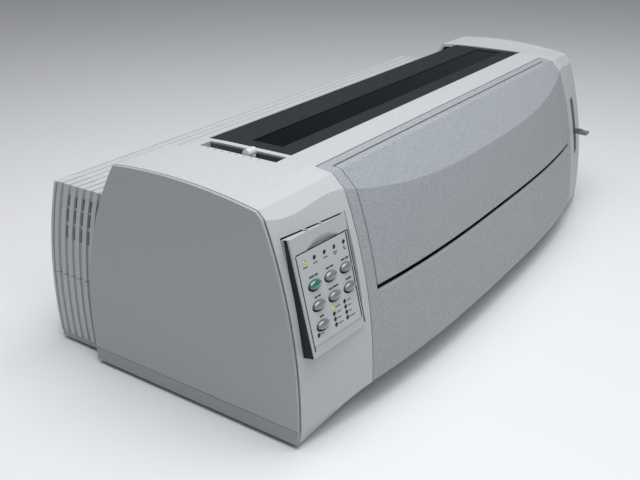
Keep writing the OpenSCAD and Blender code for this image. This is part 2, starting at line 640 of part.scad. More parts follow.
module tractor_lid(x, out) {
    hinge_x = x + out * (tractor_t / 2 + 2);
    lid_edge_x = x - out * 7;
    y0 = tractor_at[0] - 10 + 7.6;
    y1 = rod2_at[0] + 10 - 7.6;
    difference() {
        union() {
            translate([hinge_x, y0, lid_hinge_z]) rotate([-90, 0, 0]) cylinder(h = y1 - y0, r = 2.6);
            block([min(hinge_x, lid_edge_x), y0, lid_hinge_z + 0.6],
                [max(hinge_x, lid_edge_x), y1, lid_hinge_z + 2.6]);
        }
        translate([hinge_x, y0 - 1, lid_hinge_z]) rotate([-90, 0, 0])
            cylinder(h = 99, r = lid_pin_r + run_gap);
        block([x - 2.6, y0 + 4, 0], [x + 2.6, y1 - 4, far]);
    }
}
module left_tractor() color("gray") tractor(-tractor_x, -1);
module right_tractor() color("gray") tractor(tractor_x, 1);
module left_tractor_lid() color("darkgray") tractor_lid(-tractor_x, -1);
module right_tractor_lid() color("darkgray") tractor_lid(tractor_x, 1);

bail_r = 2.5;
module paper_bail() color("silver") {
    rod_x(-bail_arm_x - 1, bail_arm_x + 1, bail_at, bail_r);
    mirrored() difference() {
        side_view(bail_arm_x, 2) arm(bail_at, bail_pivot, 11);
        rod_x(0, far, bail_pivot, stud_r + run_gap);
    }
}
module bail_rollers() color("dimgray") for (x = [-0.65, -0.25, 0.25, 0.65]) difference() {
    rod_x(x * platen_half - 9, x * platen_half + 9, bail_at, 6);
    rod_x(-far, far, bail_at, bail_r + run_gap);
}

// ---- Carriage ----
module carriage() color("darkslategray") translate([-carriage_x, 0, 0]) difference() {
    union() {
        block([-45, rod_at[0] - 40, rod_at[1] - 8], [45, rod_at[0] + 12, rod_at[1] + 8]);
        block([-30, rail_y0, rail_z + 3.3], [30, rod_at[0] - 38, rod_at[1] + 4]);
        block([-10, belt_y + pulley_r - 3, belt_z - 4], [10, belt_y + pulley_r - 0.9, rod_at[1]]);
        block([-10, belt_y + pulley_r + 0.9, belt_z - 4], [10, belt_y + pulley_r + 3, rod_at[1]]);
    }
    rod_x(-far, far, rod_at, rod_r + run_gap);
}
head_top = platen_at[1] + 18;
nose_y = platen_at[0] - platen_r - 1.6;
carriage_top = rod_at[1] + 8;
fin_pitch = 6;
fin_t = 2.5;
module print_head() color("dimgray") translate([-carriage_x, 0, 0]) {
    block([-15, nose_y - 44, carriage_top], [15, nose_y - 8, head_top]);
    block([-7, nose_y - 9, platen_at[1] - 8], [7, nose_y, platen_at[1] + 8]);
    for (i = [0 : 5]) let (y = nose_y - 42 + fin_pitch * i)
        block([-18, y, carriage_top + 4], [18, y + fin_t, head_top]);
}
cart_y0 = rod_at[0] - 52;
cart_y1 = nose_y - 48;
knob_x = 40;
knob_z = 16.3;
knob_stem_r = 2;
module ribbon_cartridge() color("black") translate([-carriage_x, 0, 0]) difference() {
    union() {
        block([-55, cart_y0, carriage_top], [55, cart_y1, carriage_top + 16]);
        for (x = [-33, 23]) block([x, cart_y1 - 2, carriage_top], [x + 10, nose_y - 2, carriage_top + 16]);
        for (x = [-26, 22]) block([x, nose_y - 3, platen_at[1] - 6], [x + 4, nose_y + 0.8, platen_at[1] + 6]);
        block([-26, nose_y + 0.4, platen_at[1] - 6], [26, nose_y + 0.8, platen_at[1] + 6]);
    }
    translate([knob_x, (cart_y0 + cart_y1) / 2, carriage_top + 4])
        cylinder(h = 40, r = knob_stem_r + run_gap);
}
module ribbon_knob() color("gray")
    translate([knob_x - carriage_x, (cart_y0 + cart_y1) / 2, carriage_top]) {
        translate([0, 0, knob_z]) cylinder(h = 5, r = 7);
        translate([0, 0, 5]) cylinder(h = 14, r = knob_stem_r);
        for (a = [0 : 45 : 315]) rotate(a) translate([6.6, -1, knob_z]) cube([1.4, 2, 5]);
    }
module carriage_rod() color("silver") rod_x(-frame_x - plate_t, frame_x + plate_t, rod_at, rod_r);
belt_t = 1.4;
module carriage_belt() color("black") translate([0, 0, belt_z - 3]) linear_extrude(6) difference() {
    union() {
        for (x = [-1, 1]) translate([x * pulley_x, belt_y]) circle(r = pulley_r + belt_t / 2);
        translate([-pulley_x, belt_y - pulley_r - belt_t / 2]) square([2 * pulley_x, 2 * pulley_r + belt_t]);
    }
    for (x = [-1, 1]) translate([x * pulley_x, belt_y]) circle(r = pulley_r - belt_t / 2);
    translate([-pulley_x, belt_y - pulley_r + belt_t / 2]) square([2 * pulley_x, 2 * pulley_r - belt_t]);
}
module pulley(x) translate([x, belt_y, belt_z]) difference() {
    union() {
        translate([0, 0, -3.5]) cylinder(h = 7, r = pulley_r - belt_t / 2 - 0.05);
        for (z = [-5, 3.5]) translate([0, 0, z]) cylinder(h = 1.5, r = pulley_r + 1.2);
    }
    translate([0, 0, -6]) cylinder(h = 12, r = motor_shaft_r + run_gap);
}
module drive_pulley() color("ivory") pulley(-pulley_x);
module idler_pulley() color("ivory") pulley(pulley_x);
module carriage_motor() color("dimgray") {
    translate([-pulley_x, belt_y, pan_top]) cylinder(h = belt_z - 14 - pan_top, r = 18);
    translate([-pulley_x, belt_y, belt_z - 15]) cylinder(h = 20, r = motor_shaft_r);
    translate([pulley_x, belt_y, pan_top]) cylinder(h = belt_z - 6 - pan_top, r = 7);
    translate([pulley_x, belt_y, pan_top]) cylinder(h = belt_z + 5 - pan_top, r = motor_shaft_r);
}

// ---- Electronics ----
board_z = pan_top + 6;
port_x = 100;
port_w = 60;
port_gap = 0.4;
board_t = 1.6;
// Place and size of each chip on the main board, as x, y, width and depth
board_chips = [[-50, -40, 40, 40], [20, -30, 34, 34], [80, -50, 20, 50], [130, 20, 30, 30]];
module circuit_boards() {
    color("darkgreen") {
        block([-80, -80, board_z], [170, rear_reach - 30, board_z + board_t]);
        panel_board();
    }
    color("black") for (p = board_chips)
        block([p[0], p[1], board_z + board_t], [p[0] + p[2], p[1] + p[3], board_z + 5]);
    color("silver") block([port_x, rear_reach - 40, board_z + board_t],
        [port_x + port_w, rear_reach - 1, board_z + 16]);
}
module power_supply() color("silver") {
    block([-frame_x + 20, 0, pan_top], [-100, rear_reach - 27, pan_top + 2]);
    block([-frame_x + 24, 4, pan_top + 2], [-104, rear_reach - 35, pan_top + 50]);
}
inlet_low = [-rear_x + 40, rear_reach - 28, 24];
inlet_high = [-rear_x + 68, rear_reach - 1, 46];
module power_inlet() color("black") {
    difference() {
        block(inlet_low, inlet_high);
        block([inlet_low[0] + 3, rear_reach - 19, inlet_low[2] + 3],
            [inlet_high[0] - 3, rear_reach, inlet_high[2] - 3]);
    }
    difference() {
        block([inlet_high[0] - eps, switch_low[1] - 3, switch_low[2] - 2], switch_high + [2, 0, 2]);
        block(switch_low - [0.3, 0.3, 0.3], switch_high + [0.3, 1, 0.3]);
        rod_x(switch_low[0] - 1.5, switch_high[0] + 1.5, [switch_mid[1], switch_mid[2]], 1.2 + run_gap);
    }
    for (x = [-5, 5]) block([(inlet_low[0] + inlet_high[0]) / 2 + x - 1, rear_reach - 20, 34],
        [(inlet_low[0] + inlet_high[0]) / 2 + x + 1, rear_reach - 8, 38]);
}
switch_low = [-rear_x + 84, rear_reach - 16, 26];
switch_high = [-rear_x + 98, rear_reach - 1.5, 48];
switch_mid = (switch_low + switch_high) / 2;
module power_switch() color("black") {
    side_view(switch_low[0], switch_high[0] - switch_low[0]) polygon([
        [switch_mid[1] - 4, switch_mid[2] - 5], [switch_mid[1] + 5, switch_mid[2] - 10.3],
        [switch_mid[1] + 7, switch_mid[2] - 10], [switch_mid[1] + 4.5, switch_mid[2]],
        [switch_mid[1] + 7, switch_mid[2] + 10], [switch_mid[1] + 5, switch_mid[2] + 10.3],
        [switch_mid[1] - 4, switch_mid[2] + 5]]);
    rod_x(switch_low[0] - 1.3, switch_high[0] + 1.3, [switch_mid[1], switch_mid[2]], 1.2);
}
module screws() color("silver") {
    for (p = floor_screws) translate([p[0], p[1], 0]) {
        translate([0, 0, foot_h]) cylinder(h = wall + flange_t, r = screw_r);
        translate([0, 0, pan_top + flange_t]) cylinder(h = 2, r = screw_head_r);
    }
    for (p = rear_screws) translate([p[0], rear_skin_y(p[1], 0), p[1]]) rotate([-90, 0, 0]) {
        translate([0, 0, -6]) cylinder(h = 6, r = screw_r);
        translate([0, 0, -0.5]) cylinder(h = 1.2, r = screw_head_r);
    }
}

base_pan();
feet();
left_end_block();
right_end_block();
top_bar();
left_side_panel();
right_side_panel();
front_frame();
front_door();
access_cover();
cover_window();
rear_cover();
rear_panel();
exit_guide();
operator_panel();
lit_lamps();
dark_lamps();
start_button();
line_button();
form_button();
tear_button();
load_button();
tractor_button();
setup_button();
thickness_lever();
select_lever();
left_frame_plate();
right_frame_plate();
carriage_rail();
paper_guide();
platen();
platen_shaft();
platen_gear();
shaft_bushes();
carriage_rod();
carriage();
print_head();
ribbon_cartridge();
ribbon_knob();
carriage_belt();
drive_pulley();
idler_pulley();
carriage_motor();
feed_motor();
feed_pinion();
idler_gear();
tractor_shaft();
tractor_gear();
tractor_rod();
left_tractor();
right_tractor();
left_tractor_lid();
right_tractor_lid();
paper_bail();
bail_rollers();
circuit_boards();
power_supply();
power_inlet();
power_switch();
screws();
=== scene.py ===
"""Casing, covers, controls and finishes of a wide-carriage dot matrix printer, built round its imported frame.

Front is -Y, right is +X, up is +Z, in metres. The origin lies on the desk under the middle of the casing.
Shape functions take and give millimetres; MM turns them into metres as a piece's points are placed.
"""

import math

import bpy
from bpy.props import FloatProperty, FloatVectorProperty, IntProperty, PointerProperty
from bpy.types import Operator, Panel, PropertyGroup
from mathutils import Matrix, Vector


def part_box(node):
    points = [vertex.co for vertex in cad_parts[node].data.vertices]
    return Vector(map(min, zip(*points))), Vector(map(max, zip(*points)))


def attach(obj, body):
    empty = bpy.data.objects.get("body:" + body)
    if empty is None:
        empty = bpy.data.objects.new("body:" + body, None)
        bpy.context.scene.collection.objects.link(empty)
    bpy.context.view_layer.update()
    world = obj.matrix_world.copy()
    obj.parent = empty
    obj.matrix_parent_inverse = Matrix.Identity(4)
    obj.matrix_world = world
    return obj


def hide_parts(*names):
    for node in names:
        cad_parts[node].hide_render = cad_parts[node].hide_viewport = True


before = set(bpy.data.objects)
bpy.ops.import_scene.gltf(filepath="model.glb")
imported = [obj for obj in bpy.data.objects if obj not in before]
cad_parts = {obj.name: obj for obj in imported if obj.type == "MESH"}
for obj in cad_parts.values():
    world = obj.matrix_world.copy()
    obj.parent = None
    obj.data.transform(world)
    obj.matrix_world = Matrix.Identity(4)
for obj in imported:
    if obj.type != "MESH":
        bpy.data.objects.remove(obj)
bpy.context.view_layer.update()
MM = 0.001

bl_info = {
    "name": "Wide-Carriage Printer",
    "version": (1, 0, 0),
    "blender": (4, 5, 0),
    "location": "View3D > Sidebar > Printer",
    "description": "Builds the casing, controls and finishes of a wide-carriage dot matrix printer",
    "category": "Add Mesh",
}


def low(node):
    """Lowest corner of a frame node, in millimetres."""
    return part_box(node)[0] / MM


def high(node):
    """Highest corner of a frame node, in millimetres."""
    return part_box(node)[1] / MM


# ---- Sizes read from the frame ----
HALF_W = high("base_pan").x
SKIN_X = low("right_side_panel").x
SEAM_X = high("front_frame").x + 0.8
BODY_H = high("top_bar").z
FRONT_Y = low("front_frame").y
STRIP_TOP = high("base_pan").z
COVER_PIN_X = 5.5
COVER_LOW = low("access_cover") + Vector((COVER_PIN_X, 0, 0))
COVER_HIGH = high("access_cover") - Vector((COVER_PIN_X, 0, 0))
DOOR_X = 207.8
DOOR_LOW = low("front_door").z
DOOR_TOP_Y = high("front_door").y
FRAME_Y = high("front_frame").y + 0.8
GAP = 0.8
REAR_X = high("rear_cover").x
REAR_TOP = high("rear_cover").z
REAR_SEAM = high("rear_panel").z + 0.2
REAR_Y = 147.0


# ---- Casing surfaces ----
END_W = HALF_W - SEAM_X
LEAN_RADIUS, LEAN_FROM = 410, 26
FRONT_BOW, BOW_POWER = 28, 2.8
END_BACK, END_BACK_RADIUS, END_BACK_WAIST = 89.2, 265, 38
REAR_RADIUS, REAR_WAIST = 330, 40
CROWN = 900
BROW_Y, BROW_SETBACK = -97, 9.8
BROW_DROP, BROW_END_DROP = 2.3, 6.3
CHIN_GUESS = 25


def ease(t):
    return t * t * (3 - 2 * t)


def end_share(x):
    """0 over the straight middle of the casing, rising to 1 at its ends."""
    return ease(min(1, max(0, (abs(x) - SEAM_X) / END_W)))


def lean(z):
    if z <= LEAN_FROM:
        return 0
    return LEAN_RADIUS - math.sqrt(LEAN_RADIUS ** 2 - (z - LEAN_FROM) ** 2)


def front_y(x, z):
    """The bowed front, which leans back as it rises."""
    return FRONT_Y + FRONT_BOW * min(1, abs(x) / HALF_W) ** BOW_POWER + lean(z)


def end_back_y(z):
    return END_BACK - END_BACK_RADIUS + math.sqrt(END_BACK_RADIUS ** 2 - (z - END_BACK_WAIST) ** 2)


def top_z(x, y):
    return BODY_H - y * y / CROWN * (end_share(x) if y < 0 else 1)


def brow(x):
    """Upper edge of the sloped facet over the front."""
    share = end_share(x)
    return BROW_Y + BROW_SETBACK * share, BODY_H - BROW_DROP - BROW_END_DROP * share


def chin(x):
    """Lower edge of the facet, where it runs into the front."""
    z = BODY_H - CHIN_GUESS
    y0, z0 = brow(x)
    for _ in range(12):
        z = z0 + front_y(x, z) - y0
    return front_y(x, z), z


def rear_y(z):
    """The rear shells' back, bowed from top to bottom."""
    return REAR_Y - REAR_RADIUS + math.sqrt(REAR_RADIUS ** 2 - (z - REAR_WAIST) ** 2)


def facet_point(x, t):
    """A point on the sloped facet, from its upper edge at 0 to its lower edge at 1."""
    (by, bz), (cy, cz) = brow(x), chin(x)
    return x, by + (cy - by) * t, bz + (cz - bz) * t


def below_facet(x, t, z_end):
    """A point on the front, from the facet's lower edge at 0 down to a height at 1."""
    cz = chin(x)[1]
    z = cz + (z_end - cz) * t
    return x, front_y(x, z), z


def crown_point(x, y):
    """A point on the flat strip between the facet and the rear edge of the front panels."""
    z = brow(x)[1]
    return x, y, z + (BODY_H - 0.1 - z) * ((y - BROW_Y) / (FRAME_Y - BROW_Y))


def between(a, b, n, skip_first=False):
    """n steps from a to b."""
    return [a + (b - a) * i / n for i in range(1 if skip_first else 0, n + 1)]


def lines(*stops, step):
    """Grid lines through every stop, no further apart than step."""
    stops = sorted(set(stops))
    out = [stops[0]]
    for a, b in zip(stops, stops[1:]):
        out += between(a, b, max(1, math.ceil((b - a) / step)), skip_first=True)
    return out


# ---- Modelling tools ----
def primitive(name, operator, **options):
    """A new primitive alone in the selection, under its piece's name."""
    deselect()
    operator(**options)
    o = bpy.context.active_object
    o.name = name
    return o


def deselect():
    for o in bpy.context.selected_objects:
        o.select_set(False)


def activate(o):
    deselect()
    o.select_set(True)
    bpy.context.view_layer.objects.active = o
    return o


def pick(o, kind, test):
    """Selects the faces or edges whose middle passes the test, and nothing else."""
    activate(o)
    bpy.ops.object.mode_set(mode="EDIT")
    bpy.ops.mesh.select_mode(type=kind)
    bpy.ops.mesh.select_all(action="DESELECT")
    bpy.ops.object.mode_set(mode="OBJECT")
    items = o.data.polygons if kind == "FACE" else o.data.edges
    for item in items:
        if kind == "FACE":
            item.select = bool(test(item.center / MM, item.normal))
        else:
            a, b = (o.data.vertices[i].co / MM for i in item.vertices)
            item.select = bool(test((a + b) / 2, (b - a).normalized()))


def edit(o, *steps):
    """Runs edit mode operators, given as (operator, settings), on what is selected."""
    activate(o)
    bpy.ops.object.mode_set(mode="EDIT")
    for operator, options in steps:
        operator(**options)
    bpy.ops.object.mode_set(mode="OBJECT")


def edit_all(o, *steps):
    """Runs edit mode operators on the whole piece."""
    edit(o, (bpy.ops.mesh.select_all, {"action": "SELECT"}), *steps)


def drop_faces(o, test):
    pick(o, "FACE", test)
    edit(o, (bpy.ops.mesh.delete, {"type": "FACE"}))


def finish_modifier(o, kind, **options):
    """Adds one modifier and applies it."""
    activate(o)
    m = o.modifiers.new(kind.title(), kind)
    for key, value in options.items():
        setattr(m, key, value)
    bpy.ops.object.modifier_apply(modifier=m.name)


def thicken(o, wall):
    finish_modifier(o, "SOLIDIFY", thickness=wall * MM, offset=-1, use_even_offset=True)


def round_edges(o, width, segments=2, angle=40):
    finish_modifier(o, "BEVEL", width=width * MM, segments=segments, limit_method="ANGLE",
                    angle_limit=math.radians(angle), use_clamp_overlap=True)


def smooth(o, angle=28):
    activate(o)
    bpy.ops.object.shade_smooth_by_angle(angle=math.radians(angle))


def outward(o):
    edit_all(o, (bpy.ops.mesh.normals_make_consistent, {"inside": False}))


def face_away(o, centre):
    """Turns an open skin so that its faces look away from a point inside the printer."""
    total = sum(f.area * f.normal.dot(f.center - Vector(centre) * MM) for f in o.data.polygons)
    if total < 0:
        edit_all(o, (bpy.ops.mesh.flip_normals, {}))


def skin(name, columns, rows, place, centre=(0, 0, 90)):
    """A grid with a line of points for each column and row, each set by place(column, row)."""
    nx, ny = len(columns) - 1, len(rows) - 1
    o = primitive(name, bpy.ops.mesh.primitive_grid_add, x_subdivisions=nx, y_subdivisions=ny, size=2)
    for v in o.data.vertices:
        column = round((v.co.x + 1) / 2 * nx)
        row = round((v.co.y + 1) / 2 * ny)
        v.co = Vector(place(columns[column], rows[row])) * MM
    o.data.update()
    face_away(o, centre)
    return o


def box(name, corner_a, corner_b, edge=0.4, segments=2):
    """A block between two corners, with its edges rounded."""
    a, b = Vector(corner_a), Vector(corner_b)
    o = primitive(name, bpy.ops.mesh.primitive_cube_add, size=1, location=(a + b) / 2 * MM)
    o.scale = Vector((abs(b.x - a.x), abs(b.y - a.y), abs(b.z - a.z))) * MM
    settle(o)
    if edge:
        round_edges(o, edge, segments)
    return o


def settle(o):
    """Moves an object's place, turn and size into its mesh."""
    activate(o)
    bpy.ops.object.transform_apply(location=True, rotation=True, scale=True)


def disc(name, centre, radius, depth, axis="Z", sides=32, edge=0.3):
    """A round boss or pin with rounded rims, centred on a point."""
    turn = {"X": (0, math.pi / 2, 0), "Y": (math.pi / 2, 0, 0), "Z": (0, 0, 0)}[axis]
    o = primitive(name, bpy.ops.mesh.primitive_cylinder_add, vertices=sides, radius=radius * MM,
                  depth=depth * MM, location=Vector(centre) * MM, rotation=turn)
    settle(o)
    if edge:
        round_edges(o, edge, 2, 60)
    return o


def join(name, pieces):
    activate(pieces[0])
    for p in pieces[1:]:
        p.select_set(True)
    if len(pieces) > 1:
        bpy.ops.object.join()
    pieces[0].name = name
    return pieces[0]


def cut(o, *cutters):
    """Cuts the cutters' shapes out of a closed piece."""
    for c in cutters:
        finish_modifier(o, "BOOLEAN", operation="DIFFERENCE", object=c, solver="EXACT")
        bpy.data.objects.remove(c)


def copy_of(name, node, edge=0.4, segments=2, angle=50):
    """A frame node's shape as a new piece, with whole faces for its triangles and rounded edges."""
    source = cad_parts[node]
    o = bpy.data.objects.new(name, source.data.copy())
    bpy.context.scene.collection.objects.link(o)
    edit_all(o, (bpy.ops.mesh.remove_doubles, {"threshold": 0.02 * MM}))
    edit_all(o, (bpy.ops.mesh.dissolve_limited, {"angle_limit": math.radians(1)}))
    if edge:
        round_edges(o, edge, segments, angle)
    return o


def finished(o, body, look, slot, *nodes, angle=28):
    """Smooths a piece, gives it its material and body, and hides the frame nodes it stands for. The slot is
    not used.
    """
    smooth(o, angle)
    finish_modifier(o, "WEIGHTED_NORMAL", keep_sharp=True, weight=60)
    o.data.materials.clear()
    o.data.materials.append(finish(look))
    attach(o, body)
    if nodes:
        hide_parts(*nodes)
    return o


# ---- Materials ----
PATTERN_SPAN = (0.3, 0.7)


def shader(name, color, roughness, metallic=0.0, **sockets):
    """A new material with its principled shader set, and the nodes that patterns start from."""
    m = bpy.data.materials.new(name)
    m.use_nodes = True
    nodes = m.node_tree.nodes
    p = nodes["Principled BSDF"]
    p.inputs["Base Color"].default_value = (*color, 1)
    p.inputs["Roughness"].default_value = roughness
    p.inputs["Metallic"].default_value = metallic
    for key, value in sockets.items():
        p.inputs[key.replace("_", " ")].default_value = value
    place = nodes.new("ShaderNodeTexCoord")
    return m, p, place


def add_node(m, kind, **inputs):
    """A new node, each named input set to a value or linked to another node's output."""
    n = m.node_tree.nodes.new("ShaderNode" + kind)
    for key, value in inputs.items():
        socket = n.inputs[key.replace("_", " ")]
        if isinstance(value, bpy.types.NodeSocket):
            m.node_tree.links.new(value, socket)
        else:
            socket.default_value = value
    return n


def noise(m, place, scale, detail=2.0, rough=0.5, stretch=None):
    """A noise pattern on object coordinates, stretched where the finish runs one way."""
    spot = place.outputs["Object"]
    if stretch:
        spot = add_node(m, "Mapping", Scale=stretch, Vector=spot).outputs["Vector"]
    return add_node(m, "TexNoise", Scale=scale, Detail=detail, Roughness=rough, Vector=spot).outputs["Fac"]


def tint(m, p, factor, dark, light):
    """Base colour that wanders between two tones with a pattern."""
    ramp = add_node(m, "ValToRGB", Fac=factor)
    for end, at, color in zip(ramp.color_ramp.elements, PATTERN_SPAN, (dark, light)):
        end.position = at
        end.color = (*color, 1)
    m.node_tree.links.new(ramp.outputs["Color"], p.inputs["Base Color"])


def gloss(m, p, factor, smoothest, roughest):
    """Roughness that wanders between two levels with a pattern."""
    start, stop = PATTERN_SPAN
    span = add_node(m, "MapRange", From_Min=start, From_Max=stop, To_Min=smoothest, To_Max=roughest,
                    Value=factor)
    m.node_tree.links.new(span.outputs["Result"], p.inputs["Roughness"])


def bump(m, p, height, strength, depth):
    """Relief from a pattern, its depth in millimetres."""
    b = add_node(m, "Bump", Strength=strength, Distance=depth * MM, Height=height)
    m.node_tree.links.new(b.outputs["Normal"], p.inputs["Normal"])


def shade(color, amount):
    return tuple(min(1.0, c * amount) for c in color)


def moulded(name, color, grain=900, depth=0.06, strength=0.35, mottle=0.05, roughness=(0.42, 0.6), sheen=0.5):
    """Moulded plastic with a spark-eroded grain, slightly uneven in tone and gloss."""
    m, p, place = shader(name, color, roughness[1], Specular_IOR_Level=sheen)
    fine = noise(m, place, grain, 3.0, 0.6)
    tint(m, p, fine, shade(color, 1 - mottle), shade(color, 1 + mottle))
    gloss(m, p, noise(m, place, grain / 4), *roughness)
    bump(m, p, fine, strength, depth)
    return m


def glossy(name, color):
    """Polished plastic with faint unevenness from moulding."""
    m, p, place = shader(name, color, 0.2, Specular_IOR_Level=0.9, Coat_Weight=1.0, Coat_Roughness=0.12)
    tint(m, p, noise(m, place, 180), shade(color, 0.94), shade(color, 1.06))
    gloss(m, p, noise(m, place, 60), 0.16, 0.26)
    bump(m, p, noise(m, place, 260, 1.0), 0.08, 0.05)
    return m


def steel(name, color, along=(0.02, 1, 1), roughness=(0.24, 0.42), metallic=0.9):
    """Metal drawn or ground along one axis."""
    m, p, place = shader(name, color, roughness[1], metallic)
    streaks = noise(m, place, 900, 3.0, 0.6, along)
    tint(m, p, streaks, shade(color, 0.9), shade(color, 1.08))
    gloss(m, p, streaks, *roughness)
    bump(m, p, streaks, 0.12, 0.03)
    return m


def rubber(name, color):
    m, p, place = shader(name, color, 0.8)
    grain = noise(m, place, 1400, 3.0, 0.7)
    tint(m, p, grain, shade(color, 0.8), shade(color, 1.25))
    gloss(m, p, noise(m, place, 90), 0.7, 0.9)
    bump(m, p, grain, 0.4, 0.08)
    return m


CONNECTOR_METAL = (0.30, 0.305, 0.31)
CONNECTOR_FRONT, CONNECTOR_FOOT = 0.106, 0.0148


def connector_mask(m, place):
    """One on the metal connector at the main board's rear, and nought elsewhere."""
    links = m.node_tree.links
    split = add_node(m, "SeparateXYZ", Vector=place.outputs["Object"])
    inside = add_node(m, "Math")
    inside.operation = "MULTIPLY"
    for k, (axis, edge) in enumerate((("Y", CONNECTOR_FRONT), ("Z", CONNECTOR_FOOT))):
        past = add_node(m, "Math")
        past.operation = "GREATER_THAN"
        past.inputs[1].default_value = edge
        links.new(split.outputs[axis], past.inputs[0])
        links.new(past.outputs[0], inside.inputs[k])
    return inside.outputs[0]


def board(name, color, track):
    """Circuit board with its tracks under the lacquer, and the metal connector at its rear."""
    m, p, place = shader(name, color, 0.35)
    links = m.node_tree.links
    cells = add_node(m, "TexBrick", Scale=60, Mortar_Size=0.012, Color1=(*color, 1),
                     Color2=(*shade(color, 1.2), 1), Mortar=(*track, 1), Vector=place.outputs["Object"])
    shell = connector_mask(m, place)
    links.new(shell, p.inputs["Metallic"])
    both = add_node(m, "Mix")
    both.data_type = "RGBA"
    links.new(shell, both.inputs["Factor"])
    links.new(cells.outputs["Color"], both.inputs[6])
    both.inputs[7].default_value = (*CONNECTOR_METAL, 1)
    links.new(both.outputs[2], p.inputs["Base Color"])
    gloss(m, p, noise(m, place, 200), 0.28, 0.4)
    bump(m, p, cells.outputs["Fac"], 0.3, 0.05)
    return m


def lamp_lens(name, color, glow):
    """A lamp's coloured lens, with a glow of its own while it is lit."""
    m, p, place = shader(name, color, 0.15)
    tint(m, p, noise(m, place, 300), shade(color, 0.85), shade(color, 1.1))
    gloss(m, p, noise(m, place, 200, 1.0), 0.1, 0.2)
    if glow:
        p.inputs["Emission Color"].default_value = (*color, 1)
        p.inputs["Emission Strength"].default_value = glow
    return m


def tinted_glass(name, color):
    """Smoked window, dark right through, with a polished face."""
    m, p, place = shader(name, color, 0.12, Specular_IOR_Level=0.1, IOR=1.2)
    tint(m, p, noise(m, place, 20), shade(color, 0.8), shade(color, 1.2))
    gloss(m, p, noise(m, place, 30), 0.1, 0.16)
    return m


def plain_floor(name, color):
    m, p, place = shader(name, color, 0.7)
    tint(m, p, noise(m, place, 3), shade(color, 0.985), shade(color, 1.0))
    return m


# ---- Settings ----
def number(name, description, default, smallest, largest):
    return FloatProperty(name=name, description=description, default=default, min=smallest, max=largest)


def tone(name, description, default):
    return FloatVectorProperty(name=name, description=description, default=default,
                               subtype="COLOR", size=3, min=0, max=1)


class CasingSettings(PropertyGroup):
    wall: number("Wall", "Wall of the moulded shells, in millimetres", 3.0, 1.5, 4)
    edge: number("Edge", "Rounding of the shells' edges, in millimetres", 0.5, 0.1, 1.2)
    grain: number("Grain", "Grains of the casing's surface in a metre", 900, 200, 3000)
    door_grain: number("Door Grain", "Grains of the front panels' surface in a metre", 820, 200, 3000)
    casing_color: tone("Casing", "Colour of the top housing and shells", (0.47, 0.49, 0.505))
    # The side panels' colour is darker than the casing's: painted shade on the sides.
    side_color: tone("Side Panels", "Colour of the two side panels", (0.36, 0.37, 0.39))
    door_color: tone("Front Panels", "Colour of the door and lower front panel", (0.315, 0.34, 0.36))
    base_color: tone("Base", "Colour of the base pan", (0.30, 0.31, 0.33))


class CoverSettings(PropertyGroup):
    slate_color: tone("Cover", "Colour of the access cover", (0.014, 0.020, 0.024))
    window_color: tone("Window", "Colour of the smoked window", (0.0010, 0.0014, 0.0016))
    rib_pitch: number("Rib Pitch", "Distance between the rear ribs, in millimetres", 8.4, 6, 12)


class ControlSettings(PropertyGroup):
    plate_color: tone("Panel", "Colour of the operator panel", (0.42, 0.44, 0.455))
    overlay_color: tone("Overlay", "Colour of the sheet round the buttons", (0.44, 0.46, 0.475))
    start_color: tone("First Button", "Colour of the button at the upper left", (0.004, 0.14, 0.12))
    button_color: tone("Buttons", "Colour of the other buttons", (0.165, 0.175, 0.20))
    lit_color: tone("Lit Lamps", "Colour of the lamps that are on", (0.30, 0.72, 0.02))
    glow: number("Glow", "Strength of the lit lamps", 0.25, 0, 5)


class StageSettings(PropertyGroup):
    floor_color: tone("Floor", "Colour of the floor", (0.72, 0.73, 0.74))
    key_power: number("Key Light", "Power of the large light overhead, in watts", 21, 0, 200)
    fill_power: number("Fill Light", "Power of the light at the front left, in watts", 3.5, 0, 200)
    air: number("Surroundings", "Level of the even light from all sides", 0.24, 0, 2)
    lens: number("Lens", "Focal length of the camera, in millimetres", 47.11, 20, 120)
    floor_size: IntProperty(name="Floor Size", description="Width of the floor, in metres",
                            default=12, min=4, max=40)


def settings(name):
    return getattr(bpy.context.scene, name)


def chosen(value):
    """A finish's value, which is looked up in the settings where it is given as group.name."""
    if not isinstance(value, str):
        return value
    group, name = value.split(".")
    return getattr(settings("printer_" + group), name)


_finishes = {}


def finish(name):
    """The named material, made when it is first asked for."""
    if name not in _finishes:
        maker, *values = FINISHES[name]
        _finishes[name] = maker(name, *map(chosen, values))
    return _finishes[name]


